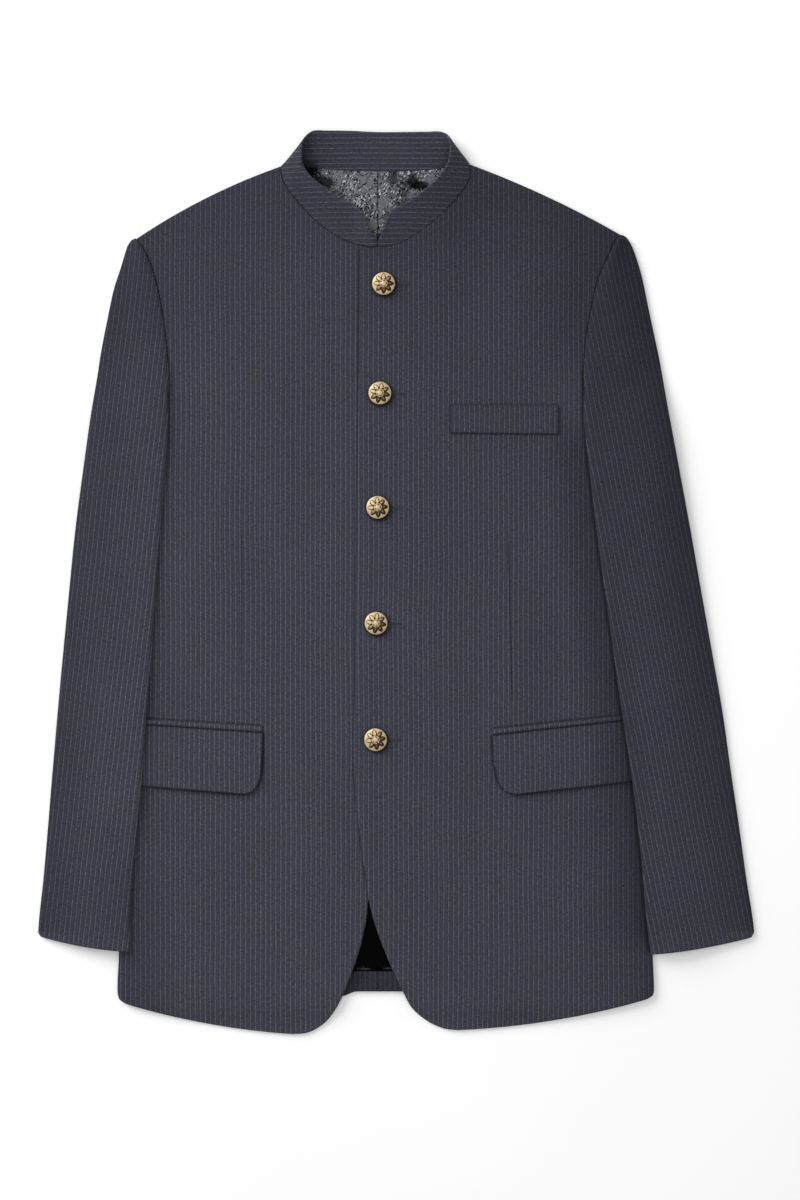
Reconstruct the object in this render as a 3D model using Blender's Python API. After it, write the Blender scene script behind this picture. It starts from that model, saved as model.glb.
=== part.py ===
"""A tailored jacket with a stand collar, buttoned and laid flat on its back.

Sizes and tables are in millimetres and become metres when a mesh is made.  The floor is
z = 0, +Y runs from hem to collar and +X is the wearer's left.  Every cloth piece is a
closed wall between an outer and an inner skin that share one lattice of plan points.
"""

import math
from collections import namedtuple

import bpy
import bmesh
from mathutils import Vector

METRES = 0.001

# Walls and the air between them
BACK_WALL = 1.6
LINING_WALL = 1.0
FRONT_WALL = 2.0
SLEEVE_UNDER_WALL = 1.5
SLEEVE_TOP_WALL = 1.6
FLAP_WALL = 1.5
JET_WALL = 1.0
WELT_WALL = 1.2
GAP = 0.3
SEAM_GAP = 0.4
DRAPE_GAP = 0.5

# Heights of the laid layers, from the floor up
LINING_BASE = BACK_WALL + GAP
FRONT_BASE = LINING_BASE + LINING_WALL + GAP
OVERLAP_RISE = FRONT_WALL + GAP
OVERLAP_FULL_WITHIN = 14.0
OVERLAP_ENDS_AT = 27.0
SLEEVE_STACK = SLEEVE_UNDER_WALL + GAP + SLEEVE_TOP_WALL

# Body
CENTRE_BACK_X = -17.5
CHEST_LINE_Y = 140.0
BACK_HEM_Y = -384.3
HEM_TURN_DEPTH = 18.8
LINING_MARGIN = 8.0
FRONT_HEM_DROP_FROM = -396.0
FRONT_HEM_DROP_TO = -418.0
SIDE_FOLD = 9.0
SIDE_FOLD_DROP = 2.6
EDGE_RADIUS = 2.5
CHEST_SWELL = 1.2
CHEST_RADII = (80.0, 140.0)
CHEST_CENTRES = {"right": (-133.0, 209.0), "left": (97.0, 209.0)}
SHOULDER_PAD = 2.4
PAD_RADII = (105.0, 66.0)
PAD_CENTRES = {"right": (-199.0, 301.0), "left": (166.0, 306.0)}
BACK_HEM_DIP = 4.5
BACK_HEM_DIP_X = -52.0
BACK_HEM_DIP_REACH = 14.0
# Steps in from a front's edge (the left one also ramps over the right) and from the
# centre back (the right half's cross the dip in its hem)
FRONT_EDGE_STEPS = {"right": [0.0, 0.8, 2.5, 18.0], "left": [0.0, 0.8, 2.5, 20.0, 40.0, 58.0]}
BACK_CENTRE_STEPS = {"right": [0.0, 20.5, 34.5, 48.5], "left": [0.0, 20.0]}

# Sleeves
SLEEVE_CROWN = 2.2
SLEEVE_HEAD_ROLL = 0.6
# Control point of the armhole's narrowest, where the sleeve starts to cover the body
NARROWEST = {"right": 7, "left": 8}
# The sleeves stand up over the ends of the pocket flaps between these heights
FLAP_BUMP_BELOW = (-245.0, -210.0)
FLAP_BUMP_ABOVE = (-115.0, -80.0)
LIFT_FULL_WITHIN = 10.0
LIFT_ENDS_AT = 28.0

# Buttons
BUTTON_RADIUS = 11.3
BUTTON_SIDES = 14

# Plan outlines, x and y.  Right and left are the wearer's, so right has negative x.
# Shoulder point, down the armhole seam to the underarm.
ARMHOLE = {
    "right": [(-244.0, 322.0), (-237.5, 313.0), (-231.0, 300.0), (-225.0, 280.5),
              (-220.5, 258.5), (-217.5, 240.0), (-215.5, 213.5), (-214.0, 185.5),
              (-216.5, 165.5), (-229.0, 148.5), (-245.0, 140.0), (-258.0, 136.5)],
    "left": [(210.5, 325.5), (206.0, 321.0), (200.5, 309.5), (193.0, 293.5),
             (187.5, 278.5), (184.0, 261.5), (180.0, 242.0), (177.0, 218.5),
             (176.0, 185.5), (179.0, 165.5), (191.5, 148.5), (212.0, 140.0),
             (231.5, 136.5)],
}
# Underarm, down the side fold and round the hem's side corner.
SIDE = {
    "right": [(-257.0, 77.5), (-255.5, 2.0), (-254.5, -73.0), (-255.5, -148.5),
              (-258.0, -223.5), (-260.0, -289.5), (-260.5, -347.5), (-262.0, -381.5),
              (-260.5, -391.0), (-255.0, -395.5)],
    "left": [(231.0, 77.5), (231.0, 2.0), (232.0, -73.0), (234.5, -148.5),
             (238.0, -223.5), (240.5, -289.5), (240.4, -345.5), (241.8, -381.0),
             (240.9, -387.3), (236.5, -391.0)],
}
# Top corner of the button stand, down the front edge and round the cutaway to the hem.
FRONT_EDGE = {
    "right": [(-0.5, 312.5), (-0.5, 143.0), (-0.5, -54.5), (-2.0, -148.5),
              (-5.0, -204.5), (-12.0, -251.5), (-26.0, -298.0), (-28.0, -315.5),
              (-34.0, -343.0), (-42.0, -367.0), (-50.5, -388.0), (-58.0, -402.0),
              (-68.0, -414.5), (-83.0, -423.0), (-98.0, -424.5)],
    "left": [(-34.5, 312.5), (-35.9, 152.5), (-38.2, -54.5), (-39.8, -180.0),
             (-32.0, -256.0), (-28.0, -281.0), (-26.0, -298.0), (-19.5, -323.0),
             (-7.0, -356.0), (7.0, -386.0), (14.5, -399.5), (29.5, -412.5),
             (45.0, -419.3), (58.0, -420.8)],
}
# Sleeve's outer edge from the shoulder to the cuff, and its inner edge below the armhole.
SLEEVE_OUTER = {
    "right": [(-246.0, 322.5), (-249.5, 320.5), (-253.0, 315.0), (-259.0, 295.5),
              (-265.5, 275.5), (-271.0, 250.0), (-277.5, 216.5), (-281.5, 190.0),
              (-286.5, 159.0), (-294.0, 105.5), (-301.5, 49.0), (-308.0, -15.0),
              (-315.5, -92.0), (-323.0, -176.5), (-327.0, -225.5), (-331.5, -277.0),
              (-336.6, -328.5), (-334.3, -332.8)],
    "left": [(213.5, 325.5), (217.5, 322.0), (222.5, 312.5), (230.0, 289.0),
             (236.5, 258.5), (242.0, 232.5), (247.0, 209.0), (255.0, 162.0),
             (265.5, 105.5), (276.0, 49.0), (286.0, -7.5), (296.0, -63.5),
             (306.0, -120.0), (314.0, -176.5), (321.0, -223.5), (328.5, -277.0),
             (336.0, -328.0), (333.5, -333.5)],
}
SLEEVE_INNER = {
    "right": [(-214.0, 152.5), (-215.0, 119.5), (-217.5, 92.5), (-221.5, 49.0),
              (-225.5, -12.0), (-229.5, -66.5), (-234.5, -131.5), (-239.0, -190.5),
              (-243.5, -237.0), (-247.0, -277.0), (-249.5, -313.0), (-250.0, -346.5)],
    "left": [(176.0, 154.5), (178.0, 129.0), (182.0, 96.0), (187.5, 49.0),
             (194.5, -1.0), (202.0, -54.5), (210.0, -113.5), (217.5, -161.5),
             (224.0, -210.0), (229.5, -258.0), (234.0, -313.0), (238.5, -349.0)],
}
# One row for each section of the collar band, from the centre front along the right
# half, round the back and along the left half: its seam edge and its top edge.
CollarSection = namedtuple("CollarSection", "seam_x seam_y seam_z top_x top_y top_z")
COLLAR_SECTIONS = [
    CollarSection(-18.0, 314.6, 5.0, -18.2, 318.6, 7.0),
    CollarSection(-28.7, 315.2, 5.0, -24.0, 328.8, 10.0),
    CollarSection(-48.4, 321.2, 5.0, -34.8, 345.4, 12.5),
    CollarSection(-73.8, 338.1, 5.0, -56.6, 362.2, 14.0),
    CollarSection(-94.5, 360.2, 5.2, -78.0, 377.0, 15.0),
    CollarSection(-105.8, 377.1, 5.2, -87.0, 389.0, 15.5),
    CollarSection(-108.5, 390.3, 4.8, -88.8, 402.5, 15.0),
    CollarSection(-104.8, 393.4, 3.4, -87.0, 414.7, 13.0),
    CollarSection(-94.5, 391.7, 1.9, -79.4, 422.7, 10.5),
    CollarSection(-73.8, 388.9, 1.4, -64.4, 423.4, 8.5),
    CollarSection(-48.4, 387.0, 1.4, -41.8, 423.2, 7.5),
    CollarSection(-17.5, 386.0, 1.4, -17.5, 422.2, 7.0),
    CollarSection(12.7, 386.5, 1.4, 6.1, 422.2, 7.5),
    CollarSection(40.9, 388.4, 1.4, 29.6, 422.4, 8.5),
    CollarSection(55.9, 391.7, 1.9, 41.6, 422.2, 10.5),
    CollarSection(65.3, 396.4, 3.4, 48.8, 418.0, 13.0),
    CollarSection(68.6, 392.2, 4.8, 50.6, 406.0, 15.0),
    CollarSection(67.2, 378.1, 5.2, 47.7, 390.8, 15.5),
    CollarSection(55.0, 359.7, 5.2, 34.5, 373.6, 15.0),
    CollarSection(34.3, 338.6, 5.0, 13.4, 357.6, 14.0),
    CollarSection(9.9, 321.2, 5.0, -5.4, 344.4, 12.5),
    CollarSection(-8.0, 315.1, 5.0, -13.2, 328.6, 10.0),
    CollarSection(-17.0, 314.6, 5.0, -16.8, 318.6, 7.0),
]
RIGHT_NECK_SECTION = 6
LEFT_NECK_SECTION = 16
MIDDLE_SECTION = 11
SECTION_STEPS = 2
# The band's seam edge stays this narrow in plan where it stands upright at the sides
SEAM_PINCH = 0.25
# The band's wall: share of its width from the seam edge, and half its thickness there
CollarStep = namedtuple("CollarStep", "share half_wall")
COLLAR_PROFILE = [
    CollarStep(0.0, 1.2), CollarStep(0.05, 1.2), CollarStep(0.35, 1.2),
    CollarStep(0.7, 1.2), CollarStep(0.93, 1.1), CollarStep(1.0, 0.6),
]

# Small pieces on the fronts: outlines as a start edge and an end edge, top to bottom.
FLAP_EDGES = {
    "right": ([(-244.5, -133.4), (-244.5, -190.4)],
              [(-125.2, -141.4), (-126.5, -172.0), (-128.6, -187.0), (-134.2, -195.4),
               (-142.5, -198.4)]),
    "left": ([(90.0, -143.8), (91.4, -168.0), (94.8, -186.0), (101.5, -195.6),
              (112.5, -198.6)],
             [(218.0, -129.6), (224.0, -186.0)]),
}
JET_ENDS = {
    "right": ((-244.5, -127.6, -132.9), (-125.5, -135.0, -140.9)),
    "left": ((90.0, -137.7, -143.3), (218.0, -124.2, -129.1)),
}
WELT_CORNERS = ((50.5, 166.0), (152.0, 166.0), (50.5, 140.0), (152.0, 138.8))
BUTTON_CENTRES = [(-12.0, 279.5), (-15.5, 177.0), (-17.5, 70.0), (-19.0, -38.5),
                  (-19.5, -147.5)]
# One row for each ring of the turned button, from the shank's foot to the crown.
ButtonRing = namedtuple("ButtonRing", "radius height")
BUTTON_RINGS = [
    ButtonRing(2.2, 0.0), ButtonRing(2.2, 1.6), ButtonRing(9.8, 1.7),
    ButtonRing(BUTTON_RADIUS, 2.3), ButtonRing(BUTTON_RADIUS - 0.2, 3.0),
    ButtonRing(9.4, 3.7), ButtonRing(6.4, 5.3), ButtonRing(3.0, 6.3),
]
BUTTON_CROWN = 6.6

# Colours, roughness and metallic value of the finishes
SUITING = ((0.053, 0.054, 0.075, 1.0), 0.85, 0.0)
LINING = ((0.10, 0.105, 0.12, 1.0), 0.35, 0.0)
ANTIQUE_BRASS = ((0.50, 0.34, 0.17, 1.0), 0.38, 0.9)

# A lattice point: plan position, share of its row's width, distances to the four edges of
# the lattice, and the control points reached on its start line and its end line.
Place = namedtuple("Place", "x y share from_start from_end from_top from_bottom start_at end_at")
# How a lattice's rows run: control point reached on each line, rows used, row's sag.
Station = namedtuple("Station", "start_at end_at rows sag")

# Fronts and backs run from the side to the centre, one row below the other to the hem.
FRONT_STATIONS = {
    "right": [Station(0, 0, 0, -4.9), Station(4, 6, 12, 0), Station(5, 7, 2, 0),
              Station(7, 7.6, 2, 0), Station(11, 8.02, 4, 0), Station(14, 9.1, 3, 0),
              Station(17, 12.1, 3, 0), Station(18, 14.4, 3, 0), Station(19, 17, 3, 1.5),
              Station(20, 19, 2, 3.5), Station(21, 21, 3, 4.7)],
    "left": [Station(0, 0, 0, -3.4), Station(5, 6, 12, 0), Station(6, 7, 2, 0),
             Station(8, 7.7, 2, 0), Station(12, 8.08, 4, 0), Station(15, 9.1, 3, 0),
             Station(18, 11.5, 3, 0), Station(19, 13.6, 3, 0), Station(20, 15.8, 3, 1.5),
             Station(21, 17.3, 2, 3.5), Station(22, 20, 3, 5.6)],
}
BACK_STATIONS = {
    "right": [Station(0, 0, 0, -4.9), Station(4, 4, 12, 0), Station(5, 4.2, 2, 0),
              Station(7, 4.5, 2, 0), Station(11, 5, 4, 0), Station(18, 6, 5, 0)],
    "left": [Station(0, 0, 0, -3.4), Station(5, 4, 12, 0), Station(6, 4.2, 2, 0),
             Station(8, 4.5, 2, 0), Station(12, 5, 4, 0), Station(19, 6, 5, 0)],
}
# Sleeves run from the outer edge to the armhole seam and the inner edge.
SLEEVE_STATIONS = {
    "right": [Station(0.6, 0, 0, 0), Station(5, 4, 12, 0), Station(5.8, 5, 2, 0),
              Station(7.5, 7, 2, 0), Station(8, 8, 2, 0), Station(9, 10, 3, 0),
              Station(12, 13.4, 4, 0), Station(13, 14.75, 2, 0), Station(14, 15.75, 2, 0),
              Station(16, 18.6, 3, 1.0), Station(17, 19, 1, 2.2)],
    "left": [Station(0.6, 0, 0, 0), Station(4, 5, 12, 0), Station(4.9, 6, 2, 0),
             Station(6.6, 8, 2, 0), Station(7, 9, 2, 0), Station(8, 11, 3, 0),
             Station(11, 14.1, 4, 0), Station(12.6, 15.7, 2, 0), Station(14, 17.2, 2, 0),
             Station(16, 19.7, 3, 1.0), Station(17, 20, 1, 2.2)],
}


def smooth(low, high, value):
    """Ease from 0 at low to 1 at high."""
    t = min(1.0, max(0.0, (value - low) / (high - low)))
    return t * t * (3.0 - 2.0 * t)


def bell(distance):
    """Soft bump: 1 at 0, flat zero from 1 outwards."""
    if abs(distance) >= 1.0:
        return 0.0
    return (1.0 - distance * distance) ** 2


def blend(a, b, share):
    return a + (b - a) * share


def edge_round(distance, radius, drop):
    """Drop of a rounded edge, from drop at the edge itself to 0 at radius."""
    if distance >= radius:
        return 0.0
    reach = 1.0 - distance / radius
    return drop * (1.0 - math.sqrt(max(0.0, 1.0 - reach * reach)))


def through(before, here, after):
    """Direction of a smooth line where it passes from one chord to the next."""
    chords = (Vector(here) - Vector(before)).length + (Vector(after) - Vector(here)).length
    return (Vector(after) - Vector(before)) / chords


def along(points, at, corners=()):
    """Point on the smooth line through points, where at counts them from 0."""
    index = min(int(at), len(points) - 2)
    t = at - index
    here = Vector(points[index])
    there = Vector(points[index + 1])
    span = (there - here).length
    leave = (there - here) / span
    arrive = leave
    if index > 0 and index not in corners:
        leave = through(points[index - 1], points[index], points[index + 1])
    if index + 2 < len(points) and index + 1 not in corners:
        arrive = through(points[index], points[index + 1], points[index + 2])
    from_here = 2 * t ** 3 - 3 * t ** 2 + 1
    leaving = t ** 3 - 2 * t ** 2 + t
    arriving = t ** 3 - t ** 2
    return (here * from_here + there * (1 - from_here)
            + (leave * leaving + arrive * arriving) * span)


def trace(points, start, end, count, corners=()):
    """count + 1 points spread along part of a smooth line."""
    return [along(points, blend(start, end, i / count), corners) for i in range(count + 1)]


def outside_distance(place, outline):
    """Plan distance from a place to a closed outline, or 0 inside it."""
    point = Vector((place.x, place.y))
    inside = False
    nearest = math.inf
    previous = outline[-1]
    for corner in outline:
        edge = corner - previous
        share = (point - previous).dot(edge) / edge.length_squared
        foot = previous + edge * min(1.0, max(0.0, share))
        nearest = min(nearest, (point - foot).length)
        if (corner.y > point.y) != (previous.y > point.y):
            cross_x = previous.x + edge.x * (point.y - previous.y) / edge.y
            if point.x < cross_x:
                inside = not inside
        previous = corner
    return 0.0 if inside else nearest


def row_stations(stations):
    """Expand a station table to one station for each lattice row."""
    rows = [stations[0]]
    for before, after in zip(stations, stations[1:]):
        for step in range(1, after.rows + 1):
            share = step / after.rows
            rows.append(Station(blend(before.start_at, after.start_at, share),
                                blend(before.end_at, after.end_at, share), 1,
                                blend(before.sag, after.sag, share)))
    return rows


def spread(width, start_steps, end_steps, middle):
    """Distances across a row: fixed steps in from each end and even ones between."""
    squeeze = min(1.0, 0.8 * width / (start_steps[-1] + end_steps[-1]))
    first = start_steps[-1] * squeeze
    last = width - end_steps[-1] * squeeze
    distances = [step * squeeze for step in start_steps]
    distances += [blend(first, last, i / (middle + 1)) for i in range(1, middle + 1)]
    distances += [width - step * squeeze for step in reversed(end_steps)]
    return distances


def near_row(row, neighbour, distance):
    """A copy of a lattice row, moved towards its neighbour."""
    moved = []
    for here, there in zip(row, neighbour):
        length = math.hypot(there.x - here.x, there.y - here.y)
        share = min(0.45, distance / length)
        moved.append(here._replace(**{field: blend(getattr(here, field), getattr(there, field), share)
                                      for field in Place._fields}))
    return moved


def lattice(start_line, end_line, stations, steps, start_corners=(), end_corners=(),
            top_inset=None, bottom_inset=None):
    """Rows of places between two lines, with an extra row close to the first and last.

    steps gives each row its steps in from the start line, those in from the end line
    and the number of even ones between them, from the control point on the end line.
    """
    rows = []
    for station in row_stations(stations):
        start = along(start_line, station.start_at, start_corners)
        end = along(end_line, station.end_at, end_corners)
        width = (end - start).length
        direction = (end - start) / width
        down = Vector((direction.y, -direction.x))
        if down.y > 0:
            down = -down
        row = []
        for distance in spread(width, *steps(station.end_at)):
            share = distance / width
            point = start + direction * distance + down * (4 * share * (1 - share) * station.sag)
            row.append(Place(point.x, point.y, share, distance, width - distance, 0.0, 0.0,
                             station.start_at, station.end_at))
        rows.append(row)
    if top_inset:
        rows.insert(1, near_row(rows[0], rows[1], top_inset))
    if bottom_inset:
        rows.insert(-1, near_row(rows[-1], rows[-2], bottom_inset))
    top = rows[0]
    bottom = rows[-1]
    return [[place._replace(from_top=math.hypot(place.x - first.x, place.y - first.y),
                            from_bottom=math.hypot(place.x - last.x, place.y - last.y))
             for place, first, last in zip(row, top, bottom)]
            for row in rows]


def skin(rows, height):
    """Lattice rows with a height function applied, as 3-D points."""
    return [[Vector((place.x, place.y, height(place))) for place in row] for row in rows]


def finish_material(name, finish):
    colour, roughness, metallic = finish
    material = bpy.data.materials.new(name + "_finish")
    material.use_nodes = True
    shader = material.node_tree.nodes["Principled BSDF"]
    shader.inputs["Base Color"].default_value = colour
    shader.inputs["Roughness"].default_value = roughness
    shader.inputs["Metallic"].default_value = metallic
    return material


def add_object(name, mesh_edit, finish):
    """Turn a bmesh in millimetres into a named object in metres."""
    bmesh.ops.recalc_face_normals(mesh_edit, faces=mesh_edit.faces)
    if mesh_edit.calc_volume(signed=True) < 0:
        bmesh.ops.reverse_faces(mesh_edit, faces=mesh_edit.faces)
    bmesh.ops.scale(mesh_edit, vec=(METRES, METRES, METRES), verts=mesh_edit.verts)
    mesh = bpy.data.meshes.new(name)
    mesh_edit.to_mesh(mesh)
    mesh_edit.free()
    mesh.shade_smooth()
    mesh.set_sharp_from_angle(angle=math.radians(40.0))
    mesh.materials.append(finish_material(name, finish))
    obj = bpy.data.objects.new(name, mesh)
    bpy.context.scene.collection.objects.link(obj)


def wall(name, outer, inner, finish):
    """Closed wall between two skins that have the same rows and columns."""
    mesh_edit = bmesh.new()
    top = [[mesh_edit.verts.new(point) for point in row] for row in outer]
    bottom = [[mesh_edit.verts.new(point) for point in row] for row in inner]
    last_row = len(outer) - 1
    last_column = len(outer[0]) - 1
    for i in range(last_row):
        for j in range(last_column):
            mesh_edit.faces.new((top[i][j], top[i + 1][j], top[i + 1][j + 1], top[i][j + 1]))
            mesh_edit.faces.new((bottom[i][j], bottom[i][j + 1], bottom[i + 1][j + 1],
                                 bottom[i + 1][j]))
        for j in (0, last_column):
            mesh_edit.faces.new((top[i][j], top[i + 1][j], bottom[i + 1][j], bottom[i][j]))
    for j in range(last_column):
        for i in (0, last_row):
            mesh_edit.faces.new((top[i][j], top[i][j + 1], bottom[i][j + 1], bottom[i][j]))
    add_object(name, mesh_edit, finish)


def side_line(side):
    """Armhole and side fold in one line, from the shoulder point to the hem."""
    return ARMHOLE[side] + SIDE[side]


def underarm(side):
    """Control point of the side line at the underarm corner."""
    return len(ARMHOLE[side]) - 1


def outside_seam(section):
    """Point that lies a seam's gap outside a collar section's seam edge."""
    seam = Vector((section.seam_x, section.seam_y))
    top = Vector((section.top_x, section.top_y))
    return tuple(seam + (seam - top).normalized() * SEAM_GAP)


def front_neckline(side):
    """Front panel's neckline, from the shoulder to the centre front."""
    if side == "right":
        sections = COLLAR_SECTIONS[RIGHT_NECK_SECTION::-1]
    else:
        sections = COLLAR_SECTIONS[LEFT_NECK_SECTION:]
    return [outside_seam(section) for section in sections]


def back_neckline(side):
    """Back panel's neckline, from the shoulder to the centre back."""
    if side == "right":
        sections = COLLAR_SECTIONS[RIGHT_NECK_SECTION + 2:MIDDLE_SECTION + 1]
        corner = COLLAR_SECTIONS[RIGHT_NECK_SECTION]
    else:
        sections = COLLAR_SECTIONS[LEFT_NECK_SECTION - 2:MIDDLE_SECTION - 1:-1]
        corner = COLLAR_SECTIONS[LEFT_NECK_SECTION]
    return [outside_seam(section) for section in [corner] + sections]


def body_below_armhole(side):
    """Outline of the part of the body that the sleeve can lie over."""
    line = side_line(side)
    outline = trace(line, NARROWEST[side], len(line) - 1, 40, (underarm(side),))
    outline.append(Vector((CENTRE_BACK_X, outline[-1].y)))
    outline.append(Vector((CENTRE_BACK_X, outline[0].y)))
    return outline


def right_front_outline():
    """The right front as a closed outline, for the left front that lies over it."""
    edge = trace(FRONT_EDGE["right"], 0, len(FRONT_EDGE["right"]) - 1, 60, (0,))
    return edge + [Vector(SIDE["right"][-1]), Vector(ARMHOLE["right"][-1]),
                   Vector(ARMHOLE["right"][1])]


BODY_OUTLINES = {side: body_below_armhole(side) for side in ("right", "left")}
RIGHT_FRONT_OUTLINE = right_front_outline()


def swell(place, centre, radii):
    return bell(math.hypot((place.x - centre[0]) / radii[0], (place.y - centre[1]) / radii[1]))


def front_swell(place, side):
    """Extra thickness of a front: canvas at the chest, pad at the shoulder."""
    return (CHEST_SWELL * swell(place, CHEST_CENTRES[side], CHEST_RADII)
            + SHOULDER_PAD * swell(place, PAD_CENTRES[side], PAD_RADII))


def overlap_rise(place, side):
    """How far the left front stands up to pass over the right one."""
    if side == "right":
        return 0.0
    distance = outside_distance(place, RIGHT_FRONT_OUTLINE)
    return OVERLAP_RISE * (1.0 - smooth(OVERLAP_FULL_WITHIN, OVERLAP_ENDS_AT, distance))


def front_base(place, side):
    """Underside of a front; its hem reaches past the back's and sinks to the floor."""
    drop = FRONT_BASE * smooth(-FRONT_HEM_DROP_FROM, -FRONT_HEM_DROP_TO, -place.y)
    return FRONT_BASE - drop + overlap_rise(place, side)


def front_top(place, side):
    return front_base(place, side) + FRONT_WALL + front_swell(place, side)


def side_fold(place, side):
    """1 along the side fold, 0 along the armhole seam."""
    return smooth(underarm(side) - 0.5, underarm(side) + 0.8, place.start_at)


def make_front(side):
    neckline = front_neckline(side)
    corners = (len(neckline) - 1, len(neckline))
    rows = lattice(side_line(side), neckline + FRONT_EDGE[side], FRONT_STATIONS[side],
                   lambda end_at: ([0.0, 1.2, 3.5, SIDE_FOLD], FRONT_EDGE_STEPS[side], 5),
                   (underarm(side),), corners, 1.2, 1.2)

    def outer(place):
        fold = side_fold(place, side)
        drop = edge_round(min(place.from_end, place.from_bottom), EDGE_RADIUS, 0.9)
        drop += edge_round(place.from_top, EDGE_RADIUS, 0.7)
        drop += edge_round(place.from_start, blend(EDGE_RADIUS, SIDE_FOLD, fold),
                           blend(0.7, SIDE_FOLD_DROP, fold))
        return front_top(place, side) - min(drop, FRONT_WALL - 0.4 + fold)

    def inner(place):
        drop = edge_round(place.from_start, LINING_MARGIN - 1.0, FRONT_BASE - LINING_BASE)
        return max(0.0, front_base(place, side) - drop * side_fold(place, side))

    wall("front_" + side, skin(rows, outer), skin(rows, inner), SUITING)


def back_hem_y(x):
    """The back's hem dips where the right front's cutaway edge lies on it."""
    return BACK_HEM_Y - BACK_HEM_DIP * bell((x - BACK_HEM_DIP_X) / BACK_HEM_DIP_REACH)


def back_rows(side, margin):
    """Lattice of a back half or of its lining, down to just above the turned-up hem."""
    neckline = back_neckline(side)
    centre_x = CENTRE_BACK_X + (-GAP if side == "right" else GAP) / 2
    neckline[-1] = (centre_x, neckline[-1][1])
    centre = [(centre_x, CHEST_LINE_Y), (centre_x, BACK_HEM_Y + HEM_TURN_DEPTH + 20.0)]
    return lattice(side_line(side), neckline + centre, BACK_STATIONS[side],
                   lambda end_at: ([margin, margin + 9.0], BACK_CENTRE_STEPS[side], 2),
                   (underarm(side),), (1, len(neckline) - 1), margin)


def hem_row(row, offset):
    """A row that follows the back's dipping hem, an offset above it."""
    return [place._replace(y=back_hem_y(place.x) + offset) for place in row]


def make_back(side):
    """Single cloth, but doubled in the hem that is turned up on the inside."""
    rows = back_rows(side, 0.0)
    single = len(rows) + 1
    offsets = (HEM_TURN_DEPTH + 0.2, HEM_TURN_DEPTH, 1.0, 0.0)
    rows += [hem_row(rows[-1], offset) for offset in offsets]
    outer = skin(rows, lambda place: BACK_WALL)
    for row in outer[single:]:
        for point in row[1:]:
            point.z = LINING_BASE + LINING_WALL
    for point in outer[-1]:
        point.z -= 0.5
    wall("back_" + side, outer, skin(rows, lambda place: 0.0), SUITING)


def make_lining(side):
    rows = back_rows(side, LINING_MARGIN)[1:]
    rows.append(hem_row(rows[-1], HEM_TURN_DEPTH + 0.2 + GAP))
    wall("lining_" + side, skin(rows, lambda place: LINING_BASE + LINING_WALL),
         skin(rows, lambda place: LINING_BASE), LINING)


def sleeve_lift(place, side):
    """Height of the sleeve's underside: the floor, or the body where it lies over it."""
    flap = smooth(*FLAP_BUMP_BELOW, place.y) * (1.0 - smooth(*FLAP_BUMP_ABOVE, place.y))
    on_body = front_top(place, side) + DRAPE_GAP + flap * (FLAP_WALL + GAP)
    distance = outside_distance(place, BODY_OUTLINES[side])
    return on_body * (1.0 - smooth(LIFT_FULL_WITHIN, LIFT_ENDS_AT, distance))


def seam_share(end_at, side):
    """1 where the sleeve's inner edge is the armhole seam, 0 where it is a fold."""
    return 1.0 - smooth(NARROWEST[side] - 0.6, NARROWEST[side] + 1.2, end_at)


def sleeve_rows(side, steps, seam_steps, middle):
    """Lattice of a sleeve layer; its inner steps change where the seam turns to a fold."""
    def steps_at(end_at):
        seam = seam_share(end_at, side)
        return steps, [blend(a, b, seam) for a, b in zip(steps, seam_steps)], middle

    inner_line = ARMHOLE[side][:NARROWEST[side] + 1] + SLEEVE_INNER[side]
    return lattice(SLEEVE_OUTER[side], inner_line, SLEEVE_STATIONS[side], steps_at,
                   bottom_inset=1.0)


def fold_drop(place, side, profile):
    """Drop of a sleeve's skin near its folded edges, from (distance, drop) pairs."""
    def at(distance):
        previous = profile[0]
        if distance <= previous[0]:
            return previous[1]
        for step in profile[1:]:
            if distance <= step[0]:
                return blend(previous[1], step[1],
                             (distance - previous[0]) / (step[0] - previous[0]))
            previous = step
        return 0.0

    return max(at(place.from_start), at(place.from_end) * (1.0 - seam_share(place.end_at, side)))


def head_raise(row, side):
    """How far a row of the top sleeve lifts to meet the body at the armhole seam."""
    seam = row[-1]
    lift = front_top(seam, side) + SLEEVE_HEAD_ROLL - SLEEVE_STACK - sleeve_lift(seam, side)
    return max(0.0, lift) * seam_share(seam.end_at, side)


def sleeve_crown(place):
    """Air under the top sleeve, none at its edges."""
    return SLEEVE_CROWN * max(0.0, 4 * place.share * (1 - place.share)) ** 0.7


def make_under_sleeve(side):
    rows = sleeve_rows(side, [2.0, 3.0, 5.0, 12.0], [0.4, 1.4, 4.0, 12.0], 3)

    def outer(place):
        return (sleeve_lift(place, side) + SLEEVE_UNDER_WALL
                - fold_drop(place, side, [(2.0, 0.9), (3.0, 0.3), (5.0, 0.0)]))

    wall("sleeve_%s_under" % side, skin(rows, outer),
         skin(rows, lambda place: sleeve_lift(place, side)), SUITING)


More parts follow.
